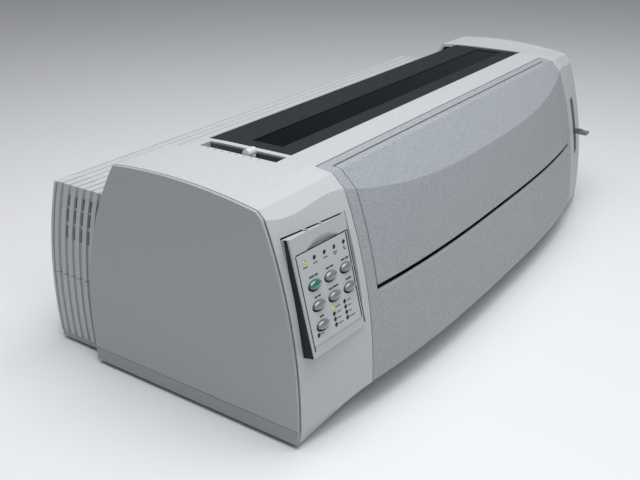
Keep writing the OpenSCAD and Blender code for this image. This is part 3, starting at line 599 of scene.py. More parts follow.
FINISHES = {
    "casing": (moulded, "casing.casing_color", "casing.grain"),
    # painted shade: the side panels' darker tone
    "side": (moulded, "casing.side_color", 1000, 0.05, 0.3, 0.035, (0.45, 0.62)),
    "front": (moulded, "casing.door_color", "casing.door_grain", 0.10, 0.6, 0.2, (0.36, 0.6)),
    "base": (moulded, "casing.base_color", 1000, 0.05, 0.3, 0.04),
    "slate": (moulded, "cover.slate_color", 620, 0.10, 0.5, 0.45, (0.6, 0.8), 0.22),
    "window": (tinted_glass, "cover.window_color"),
    "plate": (moulded, "controls.plate_color", 1300, 0.03, 0.2, 0.03),
    "overlay": (moulded, "controls.overlay_color", 1600, 0.02, 0.15, 0.03, (0.3, 0.42)),
    "start": (glossy, "controls.start_color"),
    "button": (glossy, "controls.button_color"),
    "lit": (lamp_lens, "controls.lit_color", "controls.glow"),
    "unlit": (lamp_lens, (0.006, 0.007, 0.007), 0),
    "marks": (moulded, (0.03, 0.033, 0.037), 1500, 0.02, 0.1, 0.1),
    # painted shade: near-black sheets and ovals on the operator panel and beside the select lever's slot
    "recess": (moulded, (0.007, 0.008, 0.009), 900, 0.04, 0.2, 0.2, (0.6, 0.8)),
    "lever": (moulded, (0.60, 0.61, 0.62), 900, 0.04, 0.25, 0.04, (0.3, 0.45)),
    "dark_lever": (moulded, (0.16, 0.165, 0.175), 900, 0.04, 0.25, 0.06, (0.3, 0.45)),
    # painted shade: darkens the thickness lever slot's walls
    "slot": (moulded, (0.085, 0.095, 0.10), 900, 0.04, 0.3, 0.1),
    "guide": (moulded, (0.36, 0.37, 0.385), 900, 0.04, 0.3, 0.04),
    "mech_black": (moulded, (0.022, 0.024, 0.026), 900, 0.05, 0.3, 0.2, (0.35, 0.5)),
    "mech_grey": (moulded, (0.10, 0.105, 0.11), 900, 0.05, 0.3, 0.1, (0.35, 0.5)),
    "nylon": (moulded, (0.66, 0.63, 0.55), 700, 0.03, 0.2, 0.04, (0.35, 0.5)),
    "motor": (moulded, (0.03, 0.032, 0.036), 500, 0.05, 0.3, 0.15, (0.3, 0.45)),
    "steel": (steel, (0.58, 0.58, 0.59)),
    "plated": (steel, (0.52, 0.53, 0.54), (1, 1, 0.05), (0.3, 0.5)),
    "tin": (steel, (0.50, 0.51, 0.52), (0.1, 1, 1), (0.35, 0.55)),
    "brass": (steel, (0.62, 0.45, 0.16), (0.1, 1, 1), (0.25, 0.4), 1.0),
    "head": (steel, (0.20, 0.205, 0.21), (1, 1, 0.1), (0.35, 0.5), 0.7),
    "rubber": (rubber, (0.02, 0.02, 0.021)),
    "belt": (rubber, (0.014, 0.014, 0.015)),
    "board": (board, (0.01, 0.07, 0.03), (0.03, 0.16, 0.06)),
    "floor": (plain_floor, "stage.floor_color"),
}


# ---- Casing ----
SLOT_X = (-229.0, -216.0)
SLOT_Y = (COVER_LOW.y - GAP, 20.0)
SELECT_X = (247.6, 252.4)
SELECT_Z = (79.0, 137.0)
REAR_CUT_X = COVER_HIGH.x + GAP
WELL = (COVER_LOW.x - GAP, COVER_HIGH.x + GAP, COVER_LOW.y - GAP, COVER_HIGH.y + GAP)
BACK_TOP = BODY_H - 2.2
TOP_BACK_Y = end_back_y(BACK_TOP) - 6
TUCK_END = (-118.4, 4.2)

PANEL_AT = Vector((-257.0, -119.7, 117.9))
PANEL_TURN = Matrix.Rotation(math.radians(-4.2), 3, "Z") @ Matrix.Rotation(math.radians(-14.3), 3, "X")


def on_panel(o):
    """Moves a piece from the panel's own flat coordinates to its place in the left end."""
    o.matrix_world = Matrix.Translation(PANEL_AT * MM) @ PANEL_TURN.to_4x4()
    settle(o)
    return o


def housing_rows():
    """Stations round the housing, from the rear's foot over the top to the tuck under the front."""
    rows = [("rear", z) for z in between(STRIP_TOP, BACK_TOP, 26)]
    rows += [("top", y) for y in reversed(lines(FRAME_Y, WELL[2], WELL[3], SLOT_Y[1], TOP_BACK_Y, step=7))]
    rows += [("facet", t) for t in between(0, 1, 4)]
    rows += [("upper", t) for t in between(0, 1, 5, True)]
    rows += [("front", z) for z in reversed(lines(SELECT_Z[0], SELECT_Z[1], step=5))][1:]
    rows += [("lower", t) for t in between(0, 1, 9, True)]
    rows += [("tuck", t) for t in between(0, 1, 3, True)]
    return rows


def band_top(x):
    return 23 - 7.5 * end_share(x)


def housing_point(x, row):
    kind, t = row
    if kind == "rear":
        return x, end_back_y(t), t
    if kind == "top":
        return x, t, top_z(x, t)
    if kind == "facet":
        return facet_point(x, t)
    if kind == "upper":
        return below_facet(x, t, SELECT_Z[1])
    if kind == "tuck":
        y, z = front_y(x, band_top(x)), band_top(x)
        return x, y + (TUCK_END[0] - y) * t, z + (TUCK_END[1] - z) * t
    z = t if kind == "front" else SELECT_Z[0] + (band_top(x) - SELECT_Z[0]) * t
    return x, front_y(x, z), z


class PRINTER_OT_housing(Operator):
    """Top housing: both end blocks, the strip before the cover and the rim beside the lever slot"""
    bl_idname = "printer.housing"
    bl_label = "Top Housing"

    def execute(self, context):
        s = settings("printer_casing")
        end = lines(SEAM_X, REAR_CUT_X, SELECT_X[0], SELECT_X[1], SKIN_X, step=3.7)
        left = [-x for x in lines(SEAM_X, -SLOT_X[0], REAR_CUT_X, SKIN_X, step=3.7)][::-1]
        middle = lines(-SEAM_X, SLOT_X[1], WELL[0], SEAM_X, step=20)
        columns = left + middle[1:] + end[1:]
        o = skin("housing", columns, housing_rows(), housing_point)

        def open_here(c, n):
            rear = c.y > WELL[3] or (c.z < 175 and c.y > 25)
            return (
                (abs(c.x) < SEAM_X and c.y < FRAME_Y + 0.1)
                or (abs(c.x) < REAR_CUT_X and rear)
                or (WELL[0] < c.x < WELL[1] and c.y > WELL[2])
                or (SLOT_X[0] < c.x < SLOT_X[1] and SLOT_Y[0] < c.y < SLOT_Y[1] and c.z > 150)
                or (SELECT_X[0] < c.x < SELECT_X[1] and SELECT_Z[0] < c.z < SELECT_Z[1] and c.y < -60)
            )

        drop_faces(o, open_here)
        edit_all(o, (bpy.ops.mesh.delete_loose, {}))
        thicken(o, s.wall)
        opening = on_panel(box("opening", (-30.9, -30, -43.3), (30.8, 30, 44.2), 0))
        cut(o, opening)
        round_edges(o, s.edge, 2, 38)
        finished(o, "printer", "casing", "casing", "left_end_block", "right_end_block", "top_bar", angle=20)
        return {"FINISHED"}


class PRINTER_OT_slot_lining(Operator):
    """Walls, ramp and marks of the thickness lever's slot, with the walls darkened as painted shade, and the
    dark surround of the select lever's slot, which is painted shade
    """
    bl_idname = "printer.slot_lining"
    bl_label = "Lever Slot"

    def execute(self, context):
        depth = 17
        walls = [skin("lining", between(SLOT_Y[0] + 0.5, SLOT_Y[1], 12), [0, 1],
                      lambda y, t: (x, y, top_z(0, y) - 1.2 - depth * t), (-222, 0, 175))
                 for x in (SLOT_X[1] + 0.6, SLOT_X[0] - 0.6)]
        ramp_top = top_z(0, SLOT_Y[1]) - 1.2
        ramp = skin("ramp", between(SLOT_X[0], SLOT_X[1], 4), between(0, 1, 6),
                    lambda x, t: (x, SLOT_Y[1] + 0.2 - 9 * t * t, ramp_top - depth * t), (-222, 60, 200))
        for o in walls + [ramp]:
            thicken(o, 1.2)
        o = join("lever_slot_lining", walls)
        outward(o)
        round_edges(o, 0.2, 1, 60)
        # The walls' dark finish is painted shade.
        finished(o, "printer", "slot", "guide_plastic")
        round_edges(ramp, 0.2, 1, 60)
        finished(ramp, "printer", "casing", "casing")
        # Dark sheets on the front beside the select lever's slot: painted shade.
        x0, x1 = SELECT_X[0] - 6, SELECT_X[1] + 4
        cheeks = [skin("cheek", [a, b], between(SELECT_Z[0] - 2, SELECT_Z[1] + 2, 14),
                       lambda x, z: (x, front_y(x, z) - 0.12, z), (250, 0, 100)) for a, b in
                  ((x0, SELECT_X[0]), (SELECT_X[1], x1))]
        for cheek in cheeks:
            thicken(cheek, 0.3)
        finished(join("select_slot_surround", cheeks), "printer", "recess", "inlet_black")
        marks = []
        for i in range(8):
            y = SLOT_Y[0] + 14 + 7.0 * i
            x = SLOT_X[0] - 2.4
            z = top_z(x, y) + 0.02
            marks.append(box("mark", (x - 0.9, y - 0.35, z - 0.3), (x + 0.9, y + 0.35, z + 0.06), 0.03, 1))
        finished(join("slot_marks", marks), "printer", "marks", "inlet_black")
        return {"FINISHED"}


class PRINTER_OT_side_panels(Operator):
    """Flat side panels, shaped from a circle to the casing's outline"""
    bl_idname = "printer.side_panels"
    bl_label = "Side Panels"

    def execute(self, context):
        x = HALF_W
        foot = STRIP_TOP + 0.1
        outline = [(end_back_y(z), z) for z in between(foot, BACK_TOP, 40)]
        outline += [(y, top_z(x, y)) for y in reversed(between(brow(x)[0], TOP_BACK_Y, 30))][:-1]
        outline += [brow(x), chin(x)]
        outline += [(front_y(x, z), z) for z in between(chin(x)[1], foot, 44, True)]
        for side, node in ((-1, "left_side_panel"), (1, "right_side_panel")):
            o = primitive(node.replace("_side", "_end"), bpy.ops.mesh.primitive_circle_add,
                          vertices=len(outline), radius=1, fill_type="NGON")
            for v, (y, z) in zip(o.data.vertices, outline):
                v.co = Vector((side * (SKIN_X + 0.45), y, z)) * MM
            o.data.update()
            way = (side * (HALF_W - SKIN_X - 0.45) * MM, 0, 0)
            edit_all(o, (bpy.ops.mesh.extrude_region_move, {"TRANSFORM_OT_translate": {"value": way}}))
            outward(o)
            round_edges(o, 0.7, 3, 50)
            finished(o, "printer", "side", "side_panels", node)
        return {"FINISHED"}


def frame_rows(opening_top, opening_low):
    rows = [("top", y) for y in reversed(lines(BROW_Y, opening_top, FRAME_Y - GAP, step=3.2))][:-1]
    rows += [("facet", t) for t in between(0, 1, 4)]
    rows += [("above", t) for t in between(0, 1, 10, True)]
    rows += [("below", z) for z in reversed(lines(23, opening_low, step=5))][1:]
    rows += [("return", t) for t in between(0, 1, 3, True)]
    return rows


class PRINTER_OT_front_frame(Operator):
    """Front frame: the strips beside the door and the bowed lower front panel, with its rounded upper lip"""
    bl_idname = "printer.front_frame"
    bl_label = "Front Frame"

    def execute(self, context):
        s = settings("printer_casing")
        lip_z = DOOR_LOW - 5
        edge_x = DOOR_X + GAP

        def point(x, row):
            kind, t = row
            if kind == "top":
                return crown_point(x, t)
            if kind == "facet":
                return facet_point(x, t)
            if kind == "above":
                return below_facet(x, t, lip_z)
            if kind == "below":
                return x, front_y(x, t), t
            y = front_y(x, 23)
            return x, y + (-115 - y) * t, 23

        columns = lines(-SEAM_X + GAP, -edge_x, edge_x, SEAM_X - GAP, step=7)
        o = skin("front_frame_shell", columns, frame_rows(DOOR_TOP_Y + 1.3, lip_z), point)
        drop_faces(o, lambda c, n: abs(c.x) < edge_x and c.z > lip_z and c.y < DOOR_TOP_Y + 1.2)
        thicken(o, s.wall)
        round_edges(o, s.edge, 2, 38)
        finished(o, "printer", "front", "casing", "front_frame", angle=20)
        lip = skin("lip", lines(-edge_x + 0.3, edge_x - 0.3, step=7), between(0, 1, 6),
                   lambda x, t: (x, front_y(x, lip_z) + 0.3 + 1.4 * (1 - math.cos(math.pi * t)),
                                 lip_z - 0.4 + 1.3 * math.sin(math.pi * t)))
        thicken(lip, 0.5)
        finished(lip, "printer", "front", "casing")
        return {"FINISHED"}


class PRINTER_OT_front_door(Operator):
    """Front door: one bowed shell with the facet along its top, and its two hinge webs"""
    bl_idname = "printer.front_door"
    bl_label = "Front Door"

    def execute(self, context):
        s = settings("printer_casing")
        rows = [("top", y) for y in reversed(between(BROW_Y, DOOR_TOP_Y, 3))][:-1]
        rows += [("facet", t) for t in between(0, 1, 5)]
        rows += [("front", t) for t in between(0, 1, 18, True)]

        def point(x, row):
            kind, t = row
            if kind == "top":
                return crown_point(x, t)
            if kind == "facet":
                return facet_point(x, t)
            return below_facet(x, t, DOOR_LOW)

        o = skin("door_shell", lines(-DOOR_X, DOOR_X, step=7), rows, point)
        thicken(o, s.wall)
        round_edges(o, s.edge + 0.1, 2, 38)
        webs = [box("web", (x * DOOR_X - x * 9.3, -95.4, 179.3), (x * DOOR_X - x * 0.4, -91.4, 183.6), 0.4)
                for x in (-1, 1)]
        pins = [disc("pin", (x * (DOOR_X + 2.7), -93, 182.3), 1.5, 5.6, "X", 24) for x in (-1, 1)]
        o = join("door", [o] + webs + pins)
        finished(o, "front_door", "front", "door_plastic", "front_door", angle=20)
        return {"FINISHED"}


COVER_HINGE = (24.6, 182.7)


class PRINTER_OT_access_cover(Operator):
    """Access cover with its bevelled window opening, the window and the hinge barrels"""
    bl_idname = "printer.access_cover"
    bl_label = "Access Cover"

    def execute(self, context):
        a, b = COVER_LOW, COVER_HIGH
        wa, wb = low("cover_window"), high("cover_window")
        xs = [a.x, wa.x - 2.4, wa.x, wb.x, wb.x + 2.4, b.x]
        ys = [a.y, wa.y - 1.6, wa.y, wb.y, wb.y + 1.6, b.y]

        def point(x, y):
            inside = wa.x - 0.1 < x < wb.x + 0.1 and wa.y - 0.1 < y < wb.y + 0.1
            return x, y, b.z - (1.1 if inside else 0)

        o = skin("cover_plate", xs, ys, point)
        drop_faces(o, lambda c, n: wa.x < c.x < wb.x and wa.y < c.y < wb.y)
        thicken(o, 1.8)
        round_edges(o, 0.5, 3, 20)
        ribs = [box("rim", (a.x + 1, a.y + 1, b.z - 3.4), (b.x - 1, a.y + 3, b.z - 1.5), 0.3),
                box("rim", (a.x + 1, b.y - 9, b.z - 3.4), (b.x - 1, b.y - 7, b.z - 1.5), 0.3)]
        barrels = [disc("barrel", (x, *COVER_HINGE), 2.7, 9, "X", 24) for x in (a.x + 4.5, b.x - 4.5)]
        pins = [disc("pin", (x, *COVER_HINGE), 1.5, 6.4, "X", 24) for x in (a.x - 2.3, b.x + 2.3)]
        o = join("cover", [o] + ribs + barrels + pins)
        finished(o, "access_cover", "slate", "cover_slate", "access_cover")
        pane = box("pane", (wa.x - 1, wa.y - 1, b.z - 3), (wb.x + 1, wb.y + 1, b.z - 1.4), 0.2)
        finished(pane, "access_cover", "window", "smoked_window", "cover_window")
        return {"FINISHED"}


GROOVE_U = 2.3
GROOVE_COUNT = 7
GROOVE_SIDE, GROOVE_TOP = 1.8, 0.5
SIDE_DEPTH, TOP_DEPTH = 1.8, 1.0
VENT_LEVELS = ((101.7, 114.3), (117.3, 129.8), (131.8, 142.3))
REAR_LIP_X = 231.0
REAR_WALL = 2.2
SHELL_GAP = 0.6
SEAM_HALF = 0.3


def groove_edges():
    """Distance of every groove's two edges from the rear, as (groove centre, side of it)."""
    pitch = settings("printer_cover").rib_pitch
    return [(GROOVE_U + pitch * k, side) for k in range(GROOVE_COUNT) for side in (-1, 1)]


def hoop_point(station, edge, sunk):
    """A point on the rear shells' sides or top, on the ribs or sunk to the floor of the grooves."""
    kind, t = station
    z = REAR_TOP if kind == "top" else t
    if edge == "rear":
        y = rear_y(z)
    elif edge == "front":
        y = end_back_y(z) + SHELL_GAP
    else:
        y = rear_y(z) - edge[0] - edge[1] * (GROOVE_TOP if kind == "top" else GROOVE_SIDE)
    y = max(y, end_back_y(z) + SHELL_GAP)
    side, top = (SIDE_DEPTH, TOP_DEPTH) if sunk else (0, 0)
    reach = REAR_X - side
    x = max(-reach, min(reach, t)) if kind == "top" else -reach if kind == "left" else reach
    return x, y, min(z, REAR_TOP - top)


def ribbed_shell(z_low, z_high, with_top, breaks):
    """A rear shell's parts: the floor of its grooves, a band for each rib, and the plain back."""
    levels = lines(z_low, z_high, *breaks, step=7)
    paths = [[(side, z) for z in levels] for side in ("left", "right")]
    if with_top:
        across = [("top", x) for x in between(-REAR_X, REAR_X, 24)[1:-1]]
        paths = [paths[0] + across + paths[1][::-1]]
    edges = ["rear"] + groove_edges() + ["front"]
    inside = (0, 80, (z_low + z_high) / 2)
    parts = []
    for path in paths:
        side = -1 if path[0][0] == "left" else 1
        centre = inside if with_top else (side * 200, 80, inside[2])
        floor = skin("floor", path, edges, lambda s, e: hoop_point(s, e, True), centre)
        pitch = settings("printer_cover").rib_pitch

        def vent(c, n):
            u = rear_y(c.z) - c.y
            in_groove = any(abs(u - GROOVE_U - pitch * k) < GROOVE_SIDE for k in range(2, GROOVE_COUNT))
            return in_groove and any(a < c.z < b for a, b in VENT_LEVELS) and abs(n.x) > 0.9

        drop_faces(floor, vent)
        thicken(floor, 1.4)
        parts.append(floor)
        for a, b in zip(edges[::2], edges[1::2]):
            rib = skin("rib", path, [a, b], lambda s, e: hoop_point(s, e, False), centre)
            thicken(rib, REAR_WALL)
            parts.append(rib)
    return parts


def rear_wall(z_low, z_high, breaks_x, breaks_z, opening=None):
    xs = lines(-REAR_X, REAR_X, *breaks_x, step=30)
    zs = lines(z_low, z_high, *breaks_z, step=7)
    o = skin("back", xs, zs, lambda x, z: (x, rear_y(z), z), (0, 80, (z_low + z_high) / 2))
    if opening:
        drop_faces(o, opening)
    thicken(o, REAR_WALL)
    return o


INLET_X = (-245.7, -217.3)
SWITCH_X = (-203.8, -185.2)
PORT_X = (99.6, 160.4)
INLET_Z = (23.8, 46.2)
SWITCH_Z = (23.8, 50.2)
PORT_Z = (13.0, 30.0)


class PRINTER_OT_rear_shells(Operator):
    """Rear cover with its ribs and vents, rear panel with its openings, exit guide and data port"""
    bl_idname = "printer.rear_shells"
    bl_label = "Rear Shells"

    def execute(self, context):
        low_z = REAR_SEAM + SEAM_HALF
        levels = [z for pair in VENT_LEVELS for z in pair]
        parts = ribbed_shell(low_z, REAR_TOP, True, levels)
        parts.append(rear_wall(low_z, REAR_TOP, (), ()))
        edge = end_back_y(REAR_TOP) + SHELL_GAP
        lip = skin("lip", between(-REAR_LIP_X, REAR_LIP_X, 12), [edge + 1, edge - 7],
                   lambda x, y: (x, y, REAR_TOP), (0, 60, 100))
        thicken(lip, REAR_WALL)
        cover = join("rear_cover_shell", parts + [lip])
        round_edges(cover, 0.4, 2, 50)
        finished(cover, "printer", "casing", "casing", "rear_cover", angle=20)

        def opening(c, n):
            inlet = INLET_X[0] < c.x < INLET_X[1] and INLET_Z[0] < c.z < INLET_Z[1]
            switch = INLET_X[1] < c.x < SWITCH_X[1] and SWITCH_Z[0] < c.z < SWITCH_Z[1]
            port = PORT_X[0] < c.x < PORT_X[1] and PORT_Z[0] < c.z < PORT_Z[1]
            return inlet or switch or port

        foot_z, seam_z = 8.8, REAR_SEAM - SEAM_HALF
        parts = ribbed_shell(foot_z, seam_z, False, ())
        parts.append(rear_wall(foot_z, seam_z, INLET_X + SWITCH_X + PORT_X, INLET_Z + SWITCH_Z + PORT_Z,
                               opening))
        panel = join("rear_panel_shell", parts)
        round_edges(panel, 0.4, 2, 50)
        finished(panel, "printer", "casing", "casing", "rear_panel", angle=20)
        guide = copy_of("paper_exit_guide", "exit_guide", 0.3)
        finished(guide, "printer", "guide", "guide_plastic", "exit_guide")
        mid = (PORT_Z[0] + PORT_Z[1]) / 2 + 0.4
        shell = box("port", (PORT_X[0] + 1.5, 139, mid - 7), (PORT_X[1] - 1.5, 145.9, mid + 7), 0)
        hollow = box("hollow", (PORT_X[0] + 8, 141, mid - 4.6), (PORT_X[1] - 8, 150, mid + 4.6), 1.6, 3)
        cut(shell, hollow)
        round_edges(shell, 0.3, 2, 50)
        tongue = box("tongue", (PORT_X[0] + 11, 140.5, mid - 1.6), (PORT_X[1] - 11, 145, mid + 1.6), 0.3)
        finished(shell, "printer", "tin", "supply_metal")
        finished(tongue, "printer", "mech_black", "inlet_black")
        return {"FINISHED"}


class PRINTER_OT_base(Operator):
    """Base pan and its feet"""
    bl_idname = "printer.base"
    bl_label = "Base"

    def execute(self, context):
        o = copy_of("base_tray", "base_pan", 0.6, 2, 60)
        finished(o, "printer", "base", "base_plastic", "base_pan")
        feet = []
        for x, y in ((-284, -104.8), (284, -104.8), (-269.5, 121), (269.5, 121)):
            pad = disc("foot", (x, y, 2.05), 8, 4.1, "Z", 32, 0.6)
            pick(pad, "FACE", lambda c, n: n.z < -0.9)
            edit(pad, (bpy.ops.mesh.inset, {"thickness": 2.4 * MM}),
                 (bpy.ops.transform.translate, {"value": (0, 0, 0.8 * MM)}))
            feet.append(pad)
        finished(join("rubber_feet", feet), "printer", "rubber", "foot_rubber", "feet")
        return {"FINISHED"}


# ---- Operator panel ----
COLUMNS = (-15.0, 2.6, 20.1)
ROWS = (6.2, -8.7, -23.2)
BUTTONS = [(name + "_button", COLUMNS[i % 3], ROWS[i // 3]) for i, name in
           enumerate(("start", "line", "form", "tear", "load", "tractor", "setup"))]
TOP_LAMPS = [(-21.1 + 10.9 * i, 24.0) for i in range(5)]
BLOCK = [(x, z) for x in (-1.8, 11.4) for z in (-17.0, -21.1, -25.2, -29.3)]
LIT = [TOP_LAMPS[0], BLOCK[0]]
DARK = TOP_LAMPS[1:] + BLOCK[1:] + [(COLUMNS[0] - 6.4, ROWS[2] - 5.8)]


def oval(name, x, z, a, b, y0, y1, sides=40):
    """An upright oval prism in the panel's coordinates, from depth y0 to y1."""
    o = disc(name, (x, (y0 + y1) / 2, z), 1, abs(y1 - y0), "Y", sides, 0)
    for v in o.data.vertices:
        v.co.x = x * MM + (v.co.x - x * MM) * a
        v.co.z = z * MM + (v.co.z - z * MM) * b
    return o


BUTTON_A, BUTTON_B = 6.3, 3.3
SHEET_Y = -0.55
SHEET_TOP = 30.2
SCOOP_RADIUS = 70.0
SCOOP_RIM = 31.6
SCOOP_AT = (2.0, 5.1)
WORD_GAP = 0.7


def button_wells(grow, y0, y1):
    """Ovals behind the buttons, off to the lower left, where a dark edge of painted shade shows round each
    button.
    """
    return [oval("well", x - 0.65, z - 0.5, BUTTON_A + grow, BUTTON_B + grow, y0, y1) for _, x, z in BUTTONS]


def panel_openings(depth):
    """Cutter for the buttons' wells and the lamps' holes."""
    holes = [oval("hole", x, z, 1.7, 1.7, -9, depth, 20) for x, z in LIT + DARK]
    return join("wells", button_wells(0.7, -9, depth) + holes)


def slanted(name, corner_a, corner_b, reach):
    """A thin sheet on a side of the panel, with its near and far edge at the depths that reach gives."""
    o = box(name, corner_a, corner_b, 0)
    for v in o.data.vertices:
        near, far = reach(v.co.x / MM, v.co.z / MM)
        v.co.y = (near if v.co.y < 0.5 * MM else far) * MM
    return o


class PRINTER_OT_operator_panel(Operator):
    """Operator panel: the block with its finger scoop, the overlay sheet, painted shade in place of the
    grooves and round the wells and edges, the tabs and the printed marks
    """
    bl_idname = "printer.operator_panel"
    bl_label = "Operator Panel"

    def execute(self, context):
        plate = box("plate", (-30.5, 0, -43), (30.5, 13, 43), 0)
        depth = math.sqrt(SCOOP_RADIUS ** 2 - SCOOP_RIM ** 2)
        scoop = primitive("scoop", bpy.ops.mesh.primitive_uv_sphere_add, segments=128, ring_count=64,
                          radius=SCOOP_RADIUS * MM, location=Vector((SCOOP_AT[0], -depth, SCOOP_AT[1])) * MM)
        settle(scoop)
        cut(scoop, box("below_scoop", (-90, -200, -90), (90, 90, SHEET_TOP - 0.9), 0))
        cut(plate, scoop, panel_openings(4.2))
        round_edges(plate, 0.5, 3, 50)
        sheet = box("sheet", (-27.6, SHEET_Y, -35), (28.3, 0.02, SHEET_TOP), 0)
        cut(sheet, panel_openings(4))
        round_edges(sheet, 0.12, 1, 50)
        finished(on_panel(plate), "printer", "plate", "panel_plastic", "operator_panel", angle=35)
        finished(on_panel(sheet), "printer", "overlay", "panel_plastic", angle=35)
        # Painted shade: dark ovals at the buttons' lower left, dark strips for the right-hand grooves and
        # along the overlay's edges, and dark sheets on the block's left side and top.
        dark = button_wells(0.5, -0.1, 3)
        dark += [box("line", (28.6, -0.08, -40.4), (29.9, 0.5, 31), 0.02, 1),
                 box("line", (26.0, SHEET_Y - 0.06, -34.6), (27.2, -0.2, 29.9), 0.02, 1),
                 box("line", (-28.1, -0.3, -38.5), (-27.3, 0.2, 30.2), 0.02, 1),
                 box("line", (-27.3, -0.3, SHEET_TOP), (28.4, 0.2, SHEET_TOP + 0.8), 0.02, 1),
                 slanted("side", (-30.62, 0, -42.9), (-30.4, 1, 42.9),
                         lambda x, z: (1.2 + 0.016 * z, 7.2 - 0.051 * z)),
                 slanted("head", (-30.4, 0, 42.7), (30.4, 1, 43.1),
                         lambda x, z: (max(0.3, 3.2 - 0.12 * x), 12.9))]
        finished(on_panel(join("panel_shadow_lines", dark)), "printer", "recess", "inlet_black", angle=35)
        tabs = [box("tab", (x - 0.6, 0.2, 42.6), (x + 0.6, 6, 44.2), 0.1, 1) for x in (-10.4, 4.4)]
        tabs.append(box("tab", (26.8, 0.2, 42.6), (30.6, 6, 44.2), 0.1, 1))
        finished(on_panel(join("panel_tabs", tabs)), "printer", "plate", "panel_plastic")
        marks = []

        def mark(x, z, width, height=0.9):
            half = height / 2
            marks.append(box("mark", (x, SHEET_Y - 0.05, z - half), (x + width, -0.4, z + half), 0))

        widths = ((5.2, 3.2), (3.8, 3.4), (4.4, 3.6), (3.0, 2.8), (4.2, 6.0), (6.2,), (4.4,))
        for (_, x, z), words in zip(BUTTONS, widths):
            at = x - (sum(words) + WORD_GAP * (len(words) - 1)) / 2
            for w in words:
                mark(at, z + 6.1, w, 1.3)
                at += w + WORD_GAP
        for i, (x, z) in enumerate(TOP_LAMPS):
            mark(x - 2.1, z - 3.6, 4.2 if i != 4 else 2.4, 0.8)
            if i in (3, 4):
                mark(x - 1.4, z - 5.0, 2.4, 0.8)
        for i, (x, z) in enumerate(BLOCK):
            mark(x + 2.4, z, (5.6, 5.0, 4.0, 5.4, 4.2, 3.8, 3.2, 6.4)[i], 0.7)
        mark(COLUMNS[0] - 4.2, ROWS[2] - 5.8, 3.0, 0.7)
        finished(on_panel(join("panel_marks", marks)), "printer", "marks", "inlet_black")
        return {"FINISHED"}


class PRINTER_OT_buttons(Operator):
    """Oval domed buttons"""
    bl_idname = "printer.buttons"
    bl_label = "Buttons"

    def execute(self, context):
        for node, x, z in BUTTONS:
            o = primitive("dome", bpy.ops.mesh.primitive_uv_sphere_add, segments=40, ring_count=24,
                          radius=1 * MM, location=Vector((x, 0, z)) * MM, rotation=(math.pi / 2, 0, 0))
            settle(o)
            for v in o.data.vertices:
                d = v.co / MM - Vector((x, 0, z))
                y = d.y * 2.6 if d.y < 0 else d.y * 0.4
                v.co = Vector((x + d.x * BUTTON_A, y - 0.6, z + d.z * BUTTON_B)) * MM
            stem = oval("stem", x, z, BUTTON_A - 0.04, BUTTON_B - 0.04, -0.7, 3.6)
            round_edges(stem, 0.15, 1, 60)
            o = on_panel(join(node.replace("_button", "_key"), [o, stem]))
            first = node == "start_button"
            look, slot_name = ("start", "button_teal") if first else ("button", "button_grey")
            finished(o, node, look, slot_name, node, angle=50)
        return {"FINISHED"}


class PRINTER_OT_lamps(Operator):
    """Lit and dark indicator lamps"""
    bl_idname = "printer.lamps"
    bl_label = "Lamps"

    def execute(self, context):
        for name, spots, node, look, slot_name in (("lamps_on", LIT, "lit_lamps", "lit", "lamp_lit"),
                                                   ("lamps_off", DARK, "dark_lamps", "unlit", "lamp_dark")):
            parts = []
            for x, z in spots:
                stem = disc("stem", (x, 3.4, z), 1.45, 7.2, "Y", 24, 0)
                pick(stem, "FACE", lambda c, n: n.y < -0.9)
                edit(stem, (bpy.ops.mesh.inset, {"thickness": 0.5 * MM}),
                     (bpy.ops.transform.translate, {"value": (0, -0.35 * MM, 0)}),
                     (bpy.ops.mesh.inset, {"thickness": 0.5 * MM}),
                     (bpy.ops.transform.translate, {"value": (0, -0.15 * MM, 0)}))
                parts.append(stem)
            finished(on_panel(join(name, parts)), "printer", look, slot_name, node, angle=60)
        return {"FINISHED"}


class PRINTER_OT_levers(Operator):
    """Thickness lever with its barrel knob, and the flat select lever"""
    bl_idname = "printer.levers"
    bl_label = "Levers"

    def execute(self, context):
        knob = copy_of("thickness_knob", "thickness_lever", 0.7, 3, 50)
        finished(knob, "thickness_lever", "lever", "lever_light", "thickness_lever", angle=40)
        paddle = copy_of("select_paddle", "select_lever", 0.6, 3, 50)
        finished(paddle, "select_lever", "dark_lever", "lever_grey", "select_lever", angle=40)
        return {"FINISHED"}


# ---- Mechanism: the frame's own nodes, each with its material ----
CARRIED = {
    "plated": ("left_frame_plate", "right_frame_plate", "carriage_rail"),
    "guide": ("paper_guide",),
    "rubber": ("platen", "bail_rollers"),
    "steel": ("platen_shaft", "carriage_rod", "tractor_shaft", "tractor_rod", "paper_bail", "screws"),
    "nylon": ("platen_gear", "shaft_bushes", "drive_pulley", "idler_pulley", "idler_gear", "tractor_gear"),
    "mech_black": ("carriage", "ribbon_cartridge", "left_tractor_lid", "right_tractor_lid", "power_inlet",
                   "power_switch"),
    "head": ("print_head",),
    "mech_grey": ("ribbon_knob", "left_tractor", "right_tractor"),
    "belt": ("carriage_belt",),
    "motor": ("carriage_motor", "feed_motor"),
    "brass": ("feed_pinion",),
    "board": ("circuit_boards",),
    "tin": ("power_supply",),
}


class PRINTER_OT_mechanism(Operator):
    """Finishes of the print mechanism, paper feed and electronics"""
    bl_idname = "printer.mechanism"
    bl_label = "Mechanism"

    def execute(self, context):
        for look, nodes in CARRIED.items():
            for node in nodes:
                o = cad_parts[node]
                o.data.materials.clear()
                o.data.materials.append(finish(look))
        return {"FINISHED"}


# ---- Stage ----
CAMERA_AT = (-0.688242, -0.404803, 0.386600)
CAMERA_YAW = 0.973430799
CAMERA_PITCH = 0.425947264


def area_light(name, at, target, size, power):
    data = bpy.data.lights.new(name, "AREA")
    data.shape = "RECTANGLE"
    data.size, data.size_y = size
    data.energy = power
    o = bpy.data.objects.new(name, data)
    bpy.context.scene.collection.objects.link(o)
    o.location = at
    o.rotation_euler = (Vector(target) - Vector(at)).to_track_quat("-Z", "Y").to_euler()
    return o


